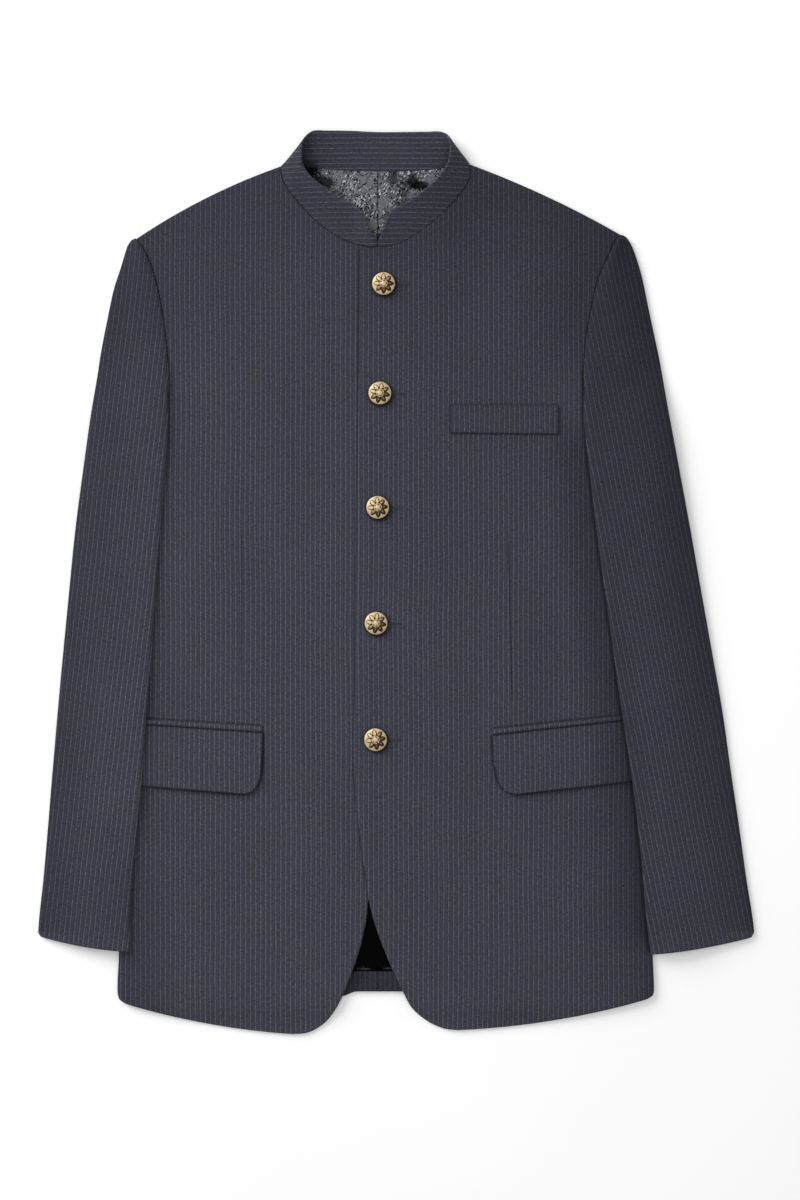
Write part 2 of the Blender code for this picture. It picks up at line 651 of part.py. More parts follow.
def make_top_sleeve(side):
    outer_rows = sleeve_rows(side, [0.0, 0.5, 1.8, 4.5, 12.0], [0.4, 0.9, 2.2, 5.0, 12.0], 4)
    inner_rows = sleeve_rows(side, [1.0, 1.3, 2.1, 4.5, 12.0], [0.4, 0.9, 2.2, 5.0, 12.0], 4)
    raises = [head_raise(row, side) for row in outer_rows]

    def heights(rows, level, profile):
        return [[Vector((place.x, place.y,
                         sleeve_lift(place, side) + level + sleeve_crown(place)
                         + lift * smooth(0.1, 0.95, place.share)
                         - fold_drop(place, side, profile))) for place in row]
                for row, lift in zip(rows, raises)]

    outer = heights(outer_rows, SLEEVE_STACK,
                    [(0.0, 2.6), (0.5, 1.6), (1.8, 0.6), (4.5, 0.1), (12.0, 0.0)])
    inner = heights(inner_rows, SLEEVE_STACK - SLEEVE_TOP_WALL,
                    [(1.0, 1.65), (1.3, 1.3), (2.1, 0.6), (4.5, 0.1), (12.0, 0.0)])
    wall("sleeve_%s_top" % side, outer, inner, SUITING)


def make_collar():
    """Band between its seam edge and its top edge, in one piece round the neck."""
    count = (len(COLLAR_SECTIONS) - 1) * SECTION_STEPS
    seam = trace([(s.seam_x, s.seam_y, s.seam_z) for s in COLLAR_SECTIONS],
                 0, len(COLLAR_SECTIONS) - 1, count, (RIGHT_NECK_SECTION, LEFT_NECK_SECTION))
    top = trace([(s.top_x, s.top_y, s.top_z) for s in COLLAR_SECTIONS],
                0, len(COLLAR_SECTIONS) - 1, count)
    middle = [[low.lerp(high, step.share) for step in COLLAR_PROFILE]
              for low, high in zip(seam, top)]
    outer = []
    inner = []
    for i, row in enumerate(middle):
        outer.append([])
        inner.append([])
        for j, step in enumerate(COLLAR_PROFILE):
            forward = middle[min(i + 1, count)][j] - middle[max(i - 1, 0)][j]
            across = row[min(j + 1, len(row) - 1)] - row[max(j - 1, 0)]
            normal = forward.cross(across).normalized()
            if j == 0:
                normal = Vector((normal.x * SEAM_PINCH, normal.y * SEAM_PINCH, normal.z))
            outer[-1].append(row[j] + normal * step.half_wall)
            inner[-1].append(row[j] - normal * step.half_wall)
    wall("collar", outer, inner, SUITING)


def make_patch(name, side, start_edge, end_edge, rows, middle, thickness):
    """A small piece that lies on a front, between two side edges given top to bottom."""
    stations = [Station(0, 0, 0, 0), Station(len(start_edge) - 1, len(end_edge) - 1, rows, 0)]
    places = lattice(start_edge, end_edge, stations,
                     lambda end_at: ([0.0, 1.0], [0.0, 1.0], middle),
                     top_inset=0.8, bottom_inset=0.8)

    def outer(place):
        nearest = min(place.from_start, place.from_end, place.from_top, place.from_bottom)
        return front_top(place, side) + GAP + thickness - edge_round(nearest, 1.0, 0.4)

    wall(name, skin(places, outer),
         skin(places, lambda place: front_top(place, side) + GAP), SUITING)


def make_pocket(side):
    start_edge, end_edge = FLAP_EDGES[side]
    make_patch("flap_" + side, side, start_edge, end_edge, 6, 5, FLAP_WALL)
    jet = [[(end[0], end[1]), (end[0], end[2])] for end in JET_ENDS[side]]
    make_patch("jet_" + side, side, jet[0], jet[1], 1, 3, JET_WALL)


def make_welt():
    top_start, top_end, bottom_start, bottom_end = WELT_CORNERS
    make_patch("welt", "left", [top_start, bottom_start], [top_end, bottom_end], 2, 7, WELT_WALL)


def make_button(number, centre):
    """A turned dome on a short shank."""
    foot = front_top(Place(*centre, 0, 0, 0, 0, 0, 0, 0), "left") + GAP
    mesh_edit = bmesh.new()
    rings = []
    for ring in BUTTON_RINGS:
        rings.append([])
        for k in range(BUTTON_SIDES):
            angle = 2 * math.pi * k / BUTTON_SIDES
            rings[-1].append(mesh_edit.verts.new((centre[0] + ring.radius * math.cos(angle),
                                                  centre[1] + ring.radius * math.sin(angle),
                                                  foot + ring.height)))
    crown = mesh_edit.verts.new((centre[0], centre[1], foot + BUTTON_CROWN))
    mesh_edit.faces.new(rings[0])
    for k in range(BUTTON_SIDES):
        after = (k + 1) % BUTTON_SIDES
        for low, high in zip(rings, rings[1:]):
            mesh_edit.faces.new((low[k], low[after], high[after], high[k]))
        mesh_edit.faces.new((rings[-1][k], rings[-1][after], crown))
    add_object("button_%d" % number, mesh_edit, ANTIQUE_BRASS)


for old in list(bpy.data.objects):
    bpy.data.objects.remove(old, do_unlink=True)

for wearer_side in ("right", "left"):
    make_back(wearer_side)
    make_lining(wearer_side)
    make_front(wearer_side)
    make_under_sleeve(wearer_side)
    make_top_sleeve(wearer_side)
    make_pocket(wearer_side)
make_collar()
make_welt()
for button_number, button_centre in enumerate(BUTTON_CENTRES, start=1):
    make_button(button_number, button_centre)
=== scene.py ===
"""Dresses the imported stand-collar jacket: fine cloth laid on the solids' own lattices, with
creases, seams, buttonholes, buttons and finishes, on a pale floor seen from straight above.

Sizes are in millimetres and become metres when a mesh is made.  Right and left are the
wearer's, so right has negative x, and the hem is at negative y.
"""

import math
from collections import namedtuple

import bpy
import numpy as np
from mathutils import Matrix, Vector


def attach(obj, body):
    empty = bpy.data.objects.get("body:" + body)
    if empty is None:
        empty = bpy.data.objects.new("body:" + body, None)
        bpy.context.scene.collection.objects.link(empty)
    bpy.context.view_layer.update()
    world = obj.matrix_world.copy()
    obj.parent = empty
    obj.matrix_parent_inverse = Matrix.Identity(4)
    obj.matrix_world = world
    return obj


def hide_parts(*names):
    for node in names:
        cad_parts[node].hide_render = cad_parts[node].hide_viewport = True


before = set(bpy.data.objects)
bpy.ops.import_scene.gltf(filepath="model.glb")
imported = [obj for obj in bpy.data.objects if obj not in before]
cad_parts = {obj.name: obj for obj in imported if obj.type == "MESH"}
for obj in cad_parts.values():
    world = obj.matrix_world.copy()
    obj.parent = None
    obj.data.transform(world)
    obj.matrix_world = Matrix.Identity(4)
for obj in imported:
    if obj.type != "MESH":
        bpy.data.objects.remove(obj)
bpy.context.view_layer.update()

METRES = 0.001
SIDES = ("right", "left")

# Walls and the air between them
BACK_WALL = 1.6
LINING_WALL = 1.0
FRONT_WALL = 2.0
SLEEVE_UNDER_WALL = 1.5
SLEEVE_TOP_WALL = 1.6
FLAP_WALL = 1.5
JET_WALL = 1.0
WELT_WALL = 1.2
COLLAR_HALF_WALL = 1.2
LEAST_WALL = 0.05
GAP = 0.3
SEAM_GAP = 0.4
DRAPE_GAP = 0.5
CENTRE_GAP = 0.04

# Heights of the laid layers, from the floor up
LINING_BASE = BACK_WALL + GAP
FRONT_BASE = LINING_BASE + LINING_WALL + GAP
OVERLAP_RISE = FRONT_WALL + GAP
OVERLAP_FULL_WITHIN = 3.0
OVERLAP_ENDS_AT = 85.0
SLEEVE_STACK = SLEEVE_UNDER_WALL + GAP + SLEEVE_TOP_WALL

# Rounded edges: radius and drop
FRONT_ROLL = (2.5, 0.9)
CLOSING_ROLL = (1.0, 0.5)
SIDE_FOLD_ROLL = (9.0, 2.6)
THIN_ROLL = (0.9, 0.6)
HEM_ROLL = (2.0, 1.0)
HEM_UNDER_ROLL = (1.4, 0.8)
LINING_SEAM_ROLL = (1.6, 0.5)
CUFF_ROLL = (1.0, 0.75)
UNDER_SLEEVE_ROLL = (0.8, 0.6)
COLLAR_TOP_ROLL = (1.5, 1.0)
# The band's ends: rows along it in place of a radius, and the share of the wall
COLLAR_END_ROLL = (3.0, 0.6)

# Body
CENTRE_BACK_X = -17.5
CHEST_LINE_Y = 140.0
BACK_HEM_Y = -384.3
HEM_TURN_DEPTH = 18.8
# The turned-up hem thins to one layer between these steps from its depth, and towards the
# side fold
HEM_STEP = (-0.4, 0.3)
HEM_SIDE_FADE = (0.5, 9.0)
# The back's lattice ends this far above the turned-up part
HEM_LATTICE_STOPS = 20.0
# The centre seam's edges are rounded less than the others: factor and offset
CENTRE_EDGE = (3.0, 0.4)
LINING_MARGIN = 8.0
LINING_OVER_HEM = 0.5
LINING_SKIPPED_ROWS = 3
LINING_SEAM_OFFSET = 0.2
LINING_SEAM_BELOW = 385
# The armhole turns into the side fold between these steps from the underarm's point
FOLD_STARTS = (-0.5, 0.8)
FRONT_HEM_DROP_FROM = -396.0
FRONT_HEM_DROP_TO = -418.0
CREASE_FADE = 12.0
CHEST_SWELL = 1.2
CHEST_RADII = (80.0, 140.0)
CHEST_CENTRES = {"right": (-133.0, 209.0), "left": (97.0, 209.0)}
SHOULDER_PAD = 2.4
PAD_RADII = (105.0, 66.0)
PAD_CENTRES = {"right": (-199.0, 301.0), "left": (166.0, 306.0)}
BACK_HEM_DIP = 4.5
BACK_HEM_DIP_X = -52.0
BACK_HEM_DIP_REACH = 14.0
# How far each front's stripes are moved on, and those of the small pieces
STRIPE_SHIFT = {"right": 0.0, "left": 1.9}
SMALL_PIECE_STRIPE_SHIFT = 1.0

# Sleeves
SLEEVE_CROWN = 2.2
SLEEVE_CROWN_POWER = 0.7
SLEEVE_HEAD_ROLL = 0.6
HEAD_ROLL_SHARES = (0.1, 0.95)
FOLD_FADE = 9.0
CUFF_FADE = 14.0
# The under sleeve stops short of the fold and, where there is one, of the armhole seam
UNDER_SLEEVE_MARGIN = 2.0
UNDER_SLEEVE_SEAM_MARGIN = 0.4
# Control point of the armhole's narrowest, where the sleeve starts to cover the body
NARROWEST = {"right": 7, "left": 8}
# Steps from it over which the armhole seam gives way to the sleeve's inner fold
SEAM_ENDS = (-0.6, 1.2)
# The sleeves stand up over the ends of the pocket flaps between these heights
FLAP_BUMP_BELOW = (-245.0, -210.0)
FLAP_BUMP_ABOVE = (-115.0, -80.0)
LIFT_FULL_WITHIN = 4.0
LIFT_ENDS_AT = 78.0

# Shares of a small piece's rounding and of its rise that its underside takes
UNDERSIDE_CURVE = 0.2
UNDERSIDE_RISE = 0.7
# Flaps stand off along their free edges and tuck in under the piping
FLAP_RISE = 1.5
FLAP_TUCK = 0.35
FLAP_TUCK_DEPTH = 6.0
FLAP_FREE_BELOW = (6.0, 34.0)
FLAP_FREE_FROM_SLEEVE = (0.0, 40.0)
# The piping's roll: height, sink and width of its curve, and length of its ends
PIPING_ROLL = 1.5
PIPING_SINK = 0.3
PIPING_HALF = 3.4
PIPING_ENDS = 3.0

# Columns of a piece between its edge columns; the small pieces' rows come first
FRONT_COLUMNS = 70
BACK_COLUMNS = 50
BACK_REFINE = 4
SLEEVE_COLUMNS = 34
UNDER_SLEEVE_COLUMNS = 26
FLAP_GRID = (34, 44)
PIPING_GRID = (12, 60)
WELT_GRID = (18, 50)
COLLAR_ROWS_PER_SECTION = 8

# Plan outlines, x and y.
# Shoulder point, down the armhole seam to the underarm.
ARMHOLE = {
    "right": [
        (-244, 322), (-237.5, 313), (-231, 300), (-225, 280.5), (-220.5, 258.5), (-217.5, 240),
        (-215.5, 213.5), (-214, 185.5), (-216.5, 165.5), (-229, 148.5), (-245, 140),
        (-258, 136.5),
    ],
    "left": [
        (210.5, 325.5), (206, 321), (200.5, 309.5), (193, 293.5), (187.5, 278.5), (184, 261.5),
        (180, 242), (177, 218.5), (176, 185.5), (179, 165.5), (191.5, 148.5), (212, 140),
        (231.5, 136.5),
    ],
}
# Underarm, down the side fold and round the hem's side corner.
SIDE = {
    "right": [
        (-257, 77.5), (-255.5, 2), (-254.5, -73), (-255.5, -148.5), (-258, -223.5),
        (-260, -289.5), (-260.5, -347.5), (-262, -381.5), (-260.5, -391), (-255, -395.5),
    ],
    "left": [
        (231, 77.5), (231, 2), (232, -73), (234.5, -148.5), (238, -223.5), (240.5, -289.5),
        (240.4, -345.5), (241.8, -381), (240.9, -387.3), (236.5, -391),
    ],
}
# Top corner of the button stand, down the front edge and round the cutaway to the hem.
FRONT_EDGE = {
    "right": [
        (-0.5, 312.5), (-0.5, 143), (-0.5, -54.5), (-2, -148.5), (-5, -204.5), (-12, -251.5),
        (-26, -298), (-28, -315.5), (-34, -343), (-42, -367), (-50.5, -388), (-58, -402),
        (-68, -414.5), (-83, -423), (-98, -424.5),
    ],
    "left": [
        (-34.5, 312.5), (-35.9, 152.5), (-38.2, -54.5), (-39.8, -180), (-32, -256), (-28, -281),
        (-26, -298), (-19.5, -323), (-7, -356), (7, -386), (14.5, -399.5), (29.5, -412.5),
        (45, -419.3), (58, -420.8),
    ],
}
# Sleeve's outer edge from the shoulder to the cuff, and its inner edge below the armhole.
SLEEVE_OUTER = {
    "right": [
        (-246, 322.5), (-249.5, 320.5), (-253, 315), (-259, 295.5), (-265.5, 275.5), (-271, 250),
        (-277.5, 216.5), (-281.5, 190), (-286.5, 159), (-294, 105.5), (-301.5, 49), (-308, -15),
        (-315.5, -92), (-323, -176.5), (-327, -225.5), (-331.5, -277), (-336.6, -328.5),
        (-334.3, -332.8),
    ],
    "left": [
        (213.5, 325.5), (217.5, 322), (222.5, 312.5), (230, 289), (236.5, 258.5), (242, 232.5),
        (247, 209), (255, 162), (265.5, 105.5), (276, 49), (286, -7.5), (296, -63.5), (306, -120),
        (314, -176.5), (321, -223.5), (328.5, -277), (336, -328), (333.5, -333.5),
    ],
}
SLEEVE_INNER = {
    "right": [
        (-214, 152.5), (-215, 119.5), (-217.5, 92.5), (-221.5, 49), (-225.5, -12),
        (-229.5, -66.5), (-234.5, -131.5), (-239, -190.5), (-243.5, -237), (-247, -277),
        (-249.5, -313), (-250, -346.5),
    ],
    "left": [
        (176, 154.5), (178, 129), (182, 96), (187.5, 49), (194.5, -1), (202, -54.5),
        (210, -113.5), (217.5, -161.5), (224, -210), (229.5, -258), (234, -313), (238.5, -349),
    ],
}
# Sections of the collar band: seam edge and top edge of each, from the centre front along
# the right half, round the back and along the left half.
CollarSection = namedtuple("CollarSection", "seam_x seam_y seam_z top_x top_y top_z")
COLLAR_SECTIONS = [CollarSection(*row) for row in [
    (-17.8, 314.6, 5, -18.2, 318.6, 7), (-28.7, 315.2, 5, -25.4, 330, 10),
    (-48.4, 321.2, 5, -32, 346.8, 12.5), (-73.8, 338.1, 5, -56.6, 362.2, 14),
    (-94.5, 360.2, 5.2, -78, 377, 15), (-105.8, 377.1, 5.2, -87, 389, 15.5),
    (-108.5, 390.3, 4.8, -88.8, 402.5, 15), (-104.8, 393.4, 3.4, -87, 414.7, 13),
    (-94.5, 391.7, 1.9, -79.4, 422.7, 10.5), (-73.8, 388.9, 1.4, -64.4, 423.4, 8.5),
    (-48.4, 387, 1.4, -41.8, 423.2, 7.5), (-17.5, 386, 1.4, -17.5, 422.2, 7),
    (12.7, 386.5, 1.4, 6.1, 422.2, 7.5), (40.9, 388.4, 1.4, 29.6, 422.4, 8.5),
    (55.9, 391.7, 1.9, 41.6, 422.2, 10.5), (65.3, 396.4, 3.4, 48.8, 418, 13),
    (68.6, 392.2, 4.8, 50.6, 406, 15), (67.2, 378.1, 5.2, 47.7, 390.8, 15.5),
    (55, 359.7, 5.2, 34.5, 373.6, 15), (34.3, 338.6, 5, 13.4, 357.6, 14),
    (9.9, 321.2, 5, -6.2, 346.2, 12.5), (-8, 315.1, 5, -12.6, 330, 10),
    (-17.2, 314.6, 5, -16.8, 318.6, 7),
]]
RIGHT_NECK_SECTION = 6
LEFT_NECK_SECTION = 16
MIDDLE_SECTION = 11
# The band's seam edge stays this narrow in plan where it stands upright at the sides
SEAM_PINCH = 0.25
# Places across the band, from its seam edge to its top edge
COLLAR_SHARES = np.concatenate([[0.0, 0.02, 0.05], np.linspace(0.1, 0.9, 15),
                                [0.93, 0.955, 0.973, 0.985, 0.993, 0.998, 1.0]])

# Small pieces on the fronts: outlines as a start edge and an end edge, top to bottom.
FLAP_EDGES = {
    "right": ([(-244.5, -133.4), (-244.5, -190.4)],
              [(-125.2, -141.4), (-126.5, -172.0), (-128.6, -187.0), (-134.2, -195.4),
               (-142.5, -198.4)]),
    "left": ([(90.0, -143.8), (91.4, -168.0), (94.8, -186.0), (101.5, -195.6),
              (112.5, -198.6)],
             [(218.0, -129.6), (224.0, -186.0)]),
}
# Each end of a piping: x, and y of its upper and its lower edge
JET_ENDS = {
    "right": ((-244.5, -127.6, -132.9), (-125.5, -135.0, -140.9)),
    "left": ((90.0, -137.7, -143.3), (218.0, -124.2, -129.1)),
}
WELT_CORNERS = ((50.5, 166.0), (152.0, 166.0), (50.5, 140.0), (152.0, 138.8))
BUTTON_CENTRES = [(-12.0, 279.5), (-15.5, 177.0), (-17.5, 70.0), (-19.0, -38.5),
                  (-19.5, -147.5)]

# How a lattice's rows run: control point reached on each of its two lines, rows used to get
# there, and the row's sag.
# Fronts and backs run from the side to the centre, one row below the other to the hem.
FRONT_STATIONS = {
    "right": [
        (0, 0, 0, -4.9), (4, 6, 12, 0), (5, 7, 2, 0), (7, 7.6, 2, 0), (11, 8.02, 4, 0),
        (14, 9.1, 3, 0), (17, 12.1, 3, 0), (18, 14.4, 3, 0), (19, 17, 3, 1.5), (20, 19, 2, 3.5),
        (21, 21, 3, 4.7),
    ],
    "left": [
        (0, 0, 0, -3.4), (5, 6, 12, 0), (6, 7, 2, 0), (8, 7.7, 2, 0), (12, 8.08, 4, 0),
        (15, 9.1, 3, 0), (18, 11.5, 3, 0), (19, 13.6, 3, 0), (20, 15.8, 3, 1.5),
        (21, 17.3, 2, 3.5), (22, 20, 3, 5.6),
    ],
}
BACK_STATIONS = {
    "right": [
        (0, 0, 0, -4.9), (4, 4, 12, 0), (5, 4.2, 2, 0), (7, 4.5, 2, 0), (11, 5, 4, 0),
        (18, 6, 5, 0),
    ],
    "left": [
        (0, 0, 0, -3.4), (5, 4, 12, 0), (6, 4.2, 2, 0), (8, 4.5, 2, 0), (12, 5, 4, 0),
        (19, 6, 5, 0),
    ],
}
# Sleeves run from the outer edge to the armhole seam and the inner edge.
SLEEVE_STATIONS = {
    "right": [
        (0.6, 0, 0, 0), (5, 4, 12, 0), (5.8, 5, 2, 0), (7.5, 7, 2, 0), (8, 8, 2, 0),
        (9, 10, 3, 0), (12, 13.4, 4, 0), (13, 14.75, 2, 0), (14, 15.75, 2, 0), (16, 18.6, 3, 1),
        (17, 19, 1, 2.2),
    ],
    "left": [
        (0.6, 0, 0, 0), (4, 5, 12, 0), (4.9, 6, 2, 0), (6.6, 8, 2, 0), (7, 9, 2, 0),
        (8, 11, 3, 0), (11, 14.1, 4, 0), (12.6, 15.7, 2, 0), (14, 17.2, 2, 0), (16, 19.7, 3, 1),
        (17, 20, 1, 2.2),
    ],
}
# Columns close to an edge, in from it, and rows of cloth for each row of the solids
FINE_STEPS = [0.0, 0.12, 0.3, 0.55, 0.9, 1.3, 1.8, 2.5, 3.5, 5.0, 7.0, 9.0]
EDGE_ROW_STEPS = FINE_STEPS[1:7]
SMALL_PIECE_STEPS = FINE_STEPS[:10]
REFINE = 6
# The columns close to the edges take up this share of a row at most
WIDEST_EDGES = 0.8
# Rows that form the back's turned-up hem: heights over its fold
HEM_ROW_HEIGHTS = [HEM_TURN_DEPTH + rise for rise in (0.9, 0.4, 0.0, -0.3, -0.8)]
HEM_ROW_HEIGHTS += [14.0, 9.0, 5.0, 3.0, 2.0, 1.2, 0.7, 0.3, 0.08, 0.0]
ROWS_ABOVE_HEM = 5
FAR = 99.0

# Creases: x and y of both ends, half width and height
CREASES = {
    "front_right": [
        (-232, 140, -160, 70, 17, -0.45), (-226, 118, -175, 40, 14, 0.35),
        (-110, 300, -60, 210, 26, 0.5), (-70, 250, -30, 120, 20, -0.4),
        (-200, -215, -190, -400, 34, 0.7), (-140, -225, -150, -415, 26, -0.5),
        (-95, -120, -75, -330, 24, 0.5), (-60, 90, -48, -60, 18, 0.35),
        (-190, 60, -200, -110, 22, 0.4),
    ],
    "front_left": [
        (208, 140, 140, 75, 17, -0.45), (200, 112, 150, 30, 14, 0.35),
        (60, 320, 30, 220, 26, 0.5), (40, 250, 10, 130, 20, -0.35),
        (190, -215, 195, -400, 34, 0.7), (130, -230, 140, -412, 28, -0.5),
        (60, -110, 45, -330, 26, 0.5), (35, 80, 25, -60, 20, 0.35), (170, 40, 175, -110, 24, 0.4),
        (-8, 279, 60, 268, 9, 0.3), (-10, 177, 55, 160, 9, 0.3), (-12, 70, 60, 52, 10, 0.35),
        (-14, -39, 58, -60, 10, 0.35), (-14, -148, 60, -172, 10, 0.35),
    ],
    "sleeve_right": [
        (-262, 250, -222, 226, 12, 0.6), (-276, 205, -222, 170, 14, -0.6),
        (-290, 75, -224, 44, 15, 0.7), (-300, 40, -232, 20, 11, -0.5),
        (-298, 5, -236, -26, 13, 0.6), (-312, -110, -255, -140, 16, 0.45),
        (-318, -250, -262, -232, 16, 0.5), (-280, 120, -268, -60, 20, 0.5),
        (-292, -90, -296, -300, 22, -0.4),
    ],
    "sleeve_left": [
        (230, 252, 190, 230, 12, 0.6), (244, 210, 188, 172, 14, -0.35),
        (262, 80, 196, 52, 15, 0.7), (272, 44, 206, 22, 11, -0.5), (276, 8, 212, -20, 13, 0.6),
        (292, -100, 232, -128, 16, 0.45), (306, -245, 246, -222, 16, 0.5),
        (240, 120, 262, -60, 20, 0.5), (272, -90, 298, -300, 22, -0.4),
    ],
}
# They wander in waves of a reach and a length; the ripples slant a little
WANDER_X = (3.0, 31.0)
RIPPLE_X = (1.5, 11.0)
RIPPLE_SLANT = 40.0
WANDER_Y = (3.0, 27.0)
# A front's deepest trough
DEEPEST_CREASE = 0.2
# Stripe direction, turned clockwise from the hem's direction, in degrees
GRAIN = {"sleeve_right": 6.4, "sleeve_left": -11.4}


def smooth(low, high, value):
    """Ease from 0 at low to 1 at high."""
    t = np.clip((value - low) / (high - low), 0.0, 1.0)
    return t * t * (3.0 - 2.0 * t)


def bell(distance):
    """Soft bump: 1 at 0, flat zero from 1 outwards."""
    return np.maximum(0.0, 1.0 - distance * distance) ** 2


def blend(a, b, share):
    return a + (b - a) * share


def edge_round(distance, radius, drop):
    """Drop of a rounded edge, from drop at the edge itself to 0 at radius."""
    reach = np.clip(1.0 - distance / radius, 0.0, 1.0)
    return drop * (1.0 - np.sqrt(1.0 - reach * reach))


def along(points, at, corners=()):
    """Points on the smooth line through points, where at counts them from 0."""
    points = np.asarray(points, float)
    at = np.atleast_1d(np.asarray(at, float))
    chords = np.diff(points, axis=0)
    spans = np.linalg.norm(chords, axis=1)
    leave = chords / spans[:, None]
    arrive = leave.copy()
    for k in range(1, len(points) - 1):
        if k not in corners:
            leave[k] = (points[k + 1] - points[k - 1]) / (spans[k - 1] + spans[k])
            arrive[k - 1] = leave[k]
    index = np.minimum(at.astype(int), len(points) - 2)
    t = (at - index)[:, None]
    stay = 2 * t ** 3 - 3 * t ** 2 + 1
    bend = leave[index] * (t ** 3 - 2 * t ** 2 + t) + arrive[index] * (t ** 3 - t ** 2)
    return points[index] * stay + points[index + 1] * (1 - stay) + bend * spans[index][:, None]


def outside_distance(x, y, outline):
    """Plan distance from each point to a closed outline, or 0 inside it."""
    outline = np.asarray(outline, float)
    nearest = np.full(np.shape(x), np.inf)
    inside = np.zeros(np.shape(x), bool)
    for (x0, y0), (x1, y1) in zip(np.roll(outline, 1, axis=0), outline):
        dx, dy = x1 - x0, y1 - y0
        share = np.clip(((x - x0) * dx + (y - y0) * dy) / (dx * dx + dy * dy), 0.0, 1.0)
        nearest = np.minimum(nearest, np.hypot(x - x0 - dx * share, y - y0 - dy * share))
        if dy:
            crosses = ((y1 > y) != (y0 > y)) & (x < x0 + dx * (y - y0) / dy)
            inside ^= crosses
    return np.where(inside, 0.0, nearest)


def station_rows(stations, refine):
    """Where each row starts and ends on its two lines, and its sag."""
    stations = np.array(stations, float)
    rows = [stations[0]]
    for before, after in zip(stations, stations[1:]):
        count = int(after[2]) * refine
        rows += [blend(before, after, step / count) for step in range(1, count + 1)]
    return np.array(rows)[:, [0, 1, 3]].T


class Lattice:
    """Arrays of plan points between two lines, with their distances to the four edges."""

    def __init__(self, start_line, end_line, stations, start_steps, end_steps, middle,
                 start_corners=(), end_corners=(), refine=REFINE):
        start_at, end_at, sag = station_rows(stations, refine)
        start = along(start_line, start_at, start_corners)
        end = along(end_line, end_at, end_corners)
        width = np.linalg.norm(end - start, axis=1)[:, None]
        direction = (end - start) / width
        down = np.stack([direction[:, 1], -direction[:, 0]], axis=1)
        down *= np.where(down[:, 1] > 0, -1.0, 1.0)[:, None]
        start_steps = np.asarray(start_steps, float)
        end_steps = end_steps(end_at) if callable(end_steps) else np.asarray([end_steps], float)
        edges = start_steps.max() + end_steps.max()
        squeeze = np.minimum(1.0, WIDEST_EDGES * width / edges)
        first = start_steps[-1] * squeeze
        last = width - end_steps[:, -1:] * squeeze
        even = np.arange(1, middle + 1) / (middle + 1)
        distance = np.hstack([start_steps * squeeze, first + (last - first) * even,
                              width - end_steps[:, ::-1] * squeeze])
        share = distance / width
        bow = 4 * share * (1 - share) * sag[:, None]
        self.x = start[:, :1] + direction[:, :1] * distance + down[:, :1] * bow
        self.y = start[:, 1:] + direction[:, 1:] * distance + down[:, 1:] * bow
        self.share = share
        self.from_start = distance
        self.from_end = width - distance
        self.start_at = start_at[:, None] + 0 * distance
        self.end_at = end_at[:, None] + 0 * distance
        self.add_rows(0, 1)
        self.add_rows(-1, -2)
        self.from_top = np.hypot(self.x - self.x[0], self.y - self.y[0])
        self.from_bottom = np.hypot(self.x - self.x[-1], self.y - self.y[-1])

    def add_rows(self, edge, neighbour):
        """Rows close to the first or last one, so that its edge can be rounded."""
        length = np.hypot(self.x[edge] - self.x[neighbour], self.y[edge] - self.y[neighbour])
        shares = [np.minimum(step / length, (k + 1) / (len(EDGE_ROW_STEPS) + 1.0))
                  for k, step in enumerate(EDGE_ROW_STEPS)]
        for name, values in list(vars(self).items()):
            extra = np.array([blend(values[edge], values[neighbour], s) for s in shares])
            if edge == 0:
                joined = np.vstack([values[:1], extra, values[1:]])
            else:
                joined = np.vstack([values[:-1], extra[::-1], values[-1:]])
            setattr(self, name, joined)

    def near_edge(self):
        return np.minimum(np.minimum(self.from_start, self.from_end),
                          np.minimum(self.from_top, self.from_bottom))


def wave(place, reach, length, start=0.0):
    return reach * np.sin(place / length + start)


def relief(x, y, name):
    """Soft creases, uneven along their length."""
    wander_x = x + wave(y, *WANDER_X) + wave(y, *RIPPLE_X, x / RIPPLE_SLANT)
    wander_y = y + wave(x, *WANDER_Y, 1.0)
    total = np.zeros(np.shape(x))
    for x0, y0, x1, y1, half_width, height in CREASES[name]:
        dx, dy = x1 - x0, y1 - y0
        t = ((wander_x - x0) * dx + (wander_y - y0) * dy) / (dx * dx + dy * dy)
        distance = np.abs((wander_x - x0) * dy - (wander_y - y0) * dx) / math.hypot(dx, dy)
        total += height * bell(distance / half_width) * bell(2 * t - 1)
    return total


def side_line(side):
    """Armhole and side fold in one line, from the shoulder point to the hem."""
    return ARMHOLE[side] + SIDE[side]


def underarm(side):
    return len(ARMHOLE[side]) - 1


def outside_seam(section):
    """Point that lies a seam's gap outside a collar section's seam edge."""
    seam = np.array((section.seam_x, section.seam_y))
    out = seam - (section.top_x, section.top_y)
    return tuple(seam + out / np.linalg.norm(out) * SEAM_GAP)


def front_neckline(side):
    if side == "right":
        sections = COLLAR_SECTIONS[RIGHT_NECK_SECTION::-1]
    else:
        sections = COLLAR_SECTIONS[LEFT_NECK_SECTION:]
    return [outside_seam(section) for section in sections]


def back_neckline(side):
    if side == "right":
        sections = COLLAR_SECTIONS[RIGHT_NECK_SECTION + 2:MIDDLE_SECTION + 1]
        corner = COLLAR_SECTIONS[RIGHT_NECK_SECTION]
    else:
        sections = COLLAR_SECTIONS[LEFT_NECK_SECTION - 2:MIDDLE_SECTION - 1:-1]
        corner = COLLAR_SECTIONS[LEFT_NECK_SECTION]
    return [outside_seam(section) for section in [corner] + sections]


def body_below_armhole(side):
    """Outline of the part of the body that the sleeve can lie over."""
    line = side_line(side)
    at = np.linspace(NARROWEST[side], len(line) - 1, 41)
    outline = [tuple(p) for p in along(line, at, (underarm(side),))]
    return outline + [(CENTRE_BACK_X, outline[-1][1]), (CENTRE_BACK_X, outline[0][1])]


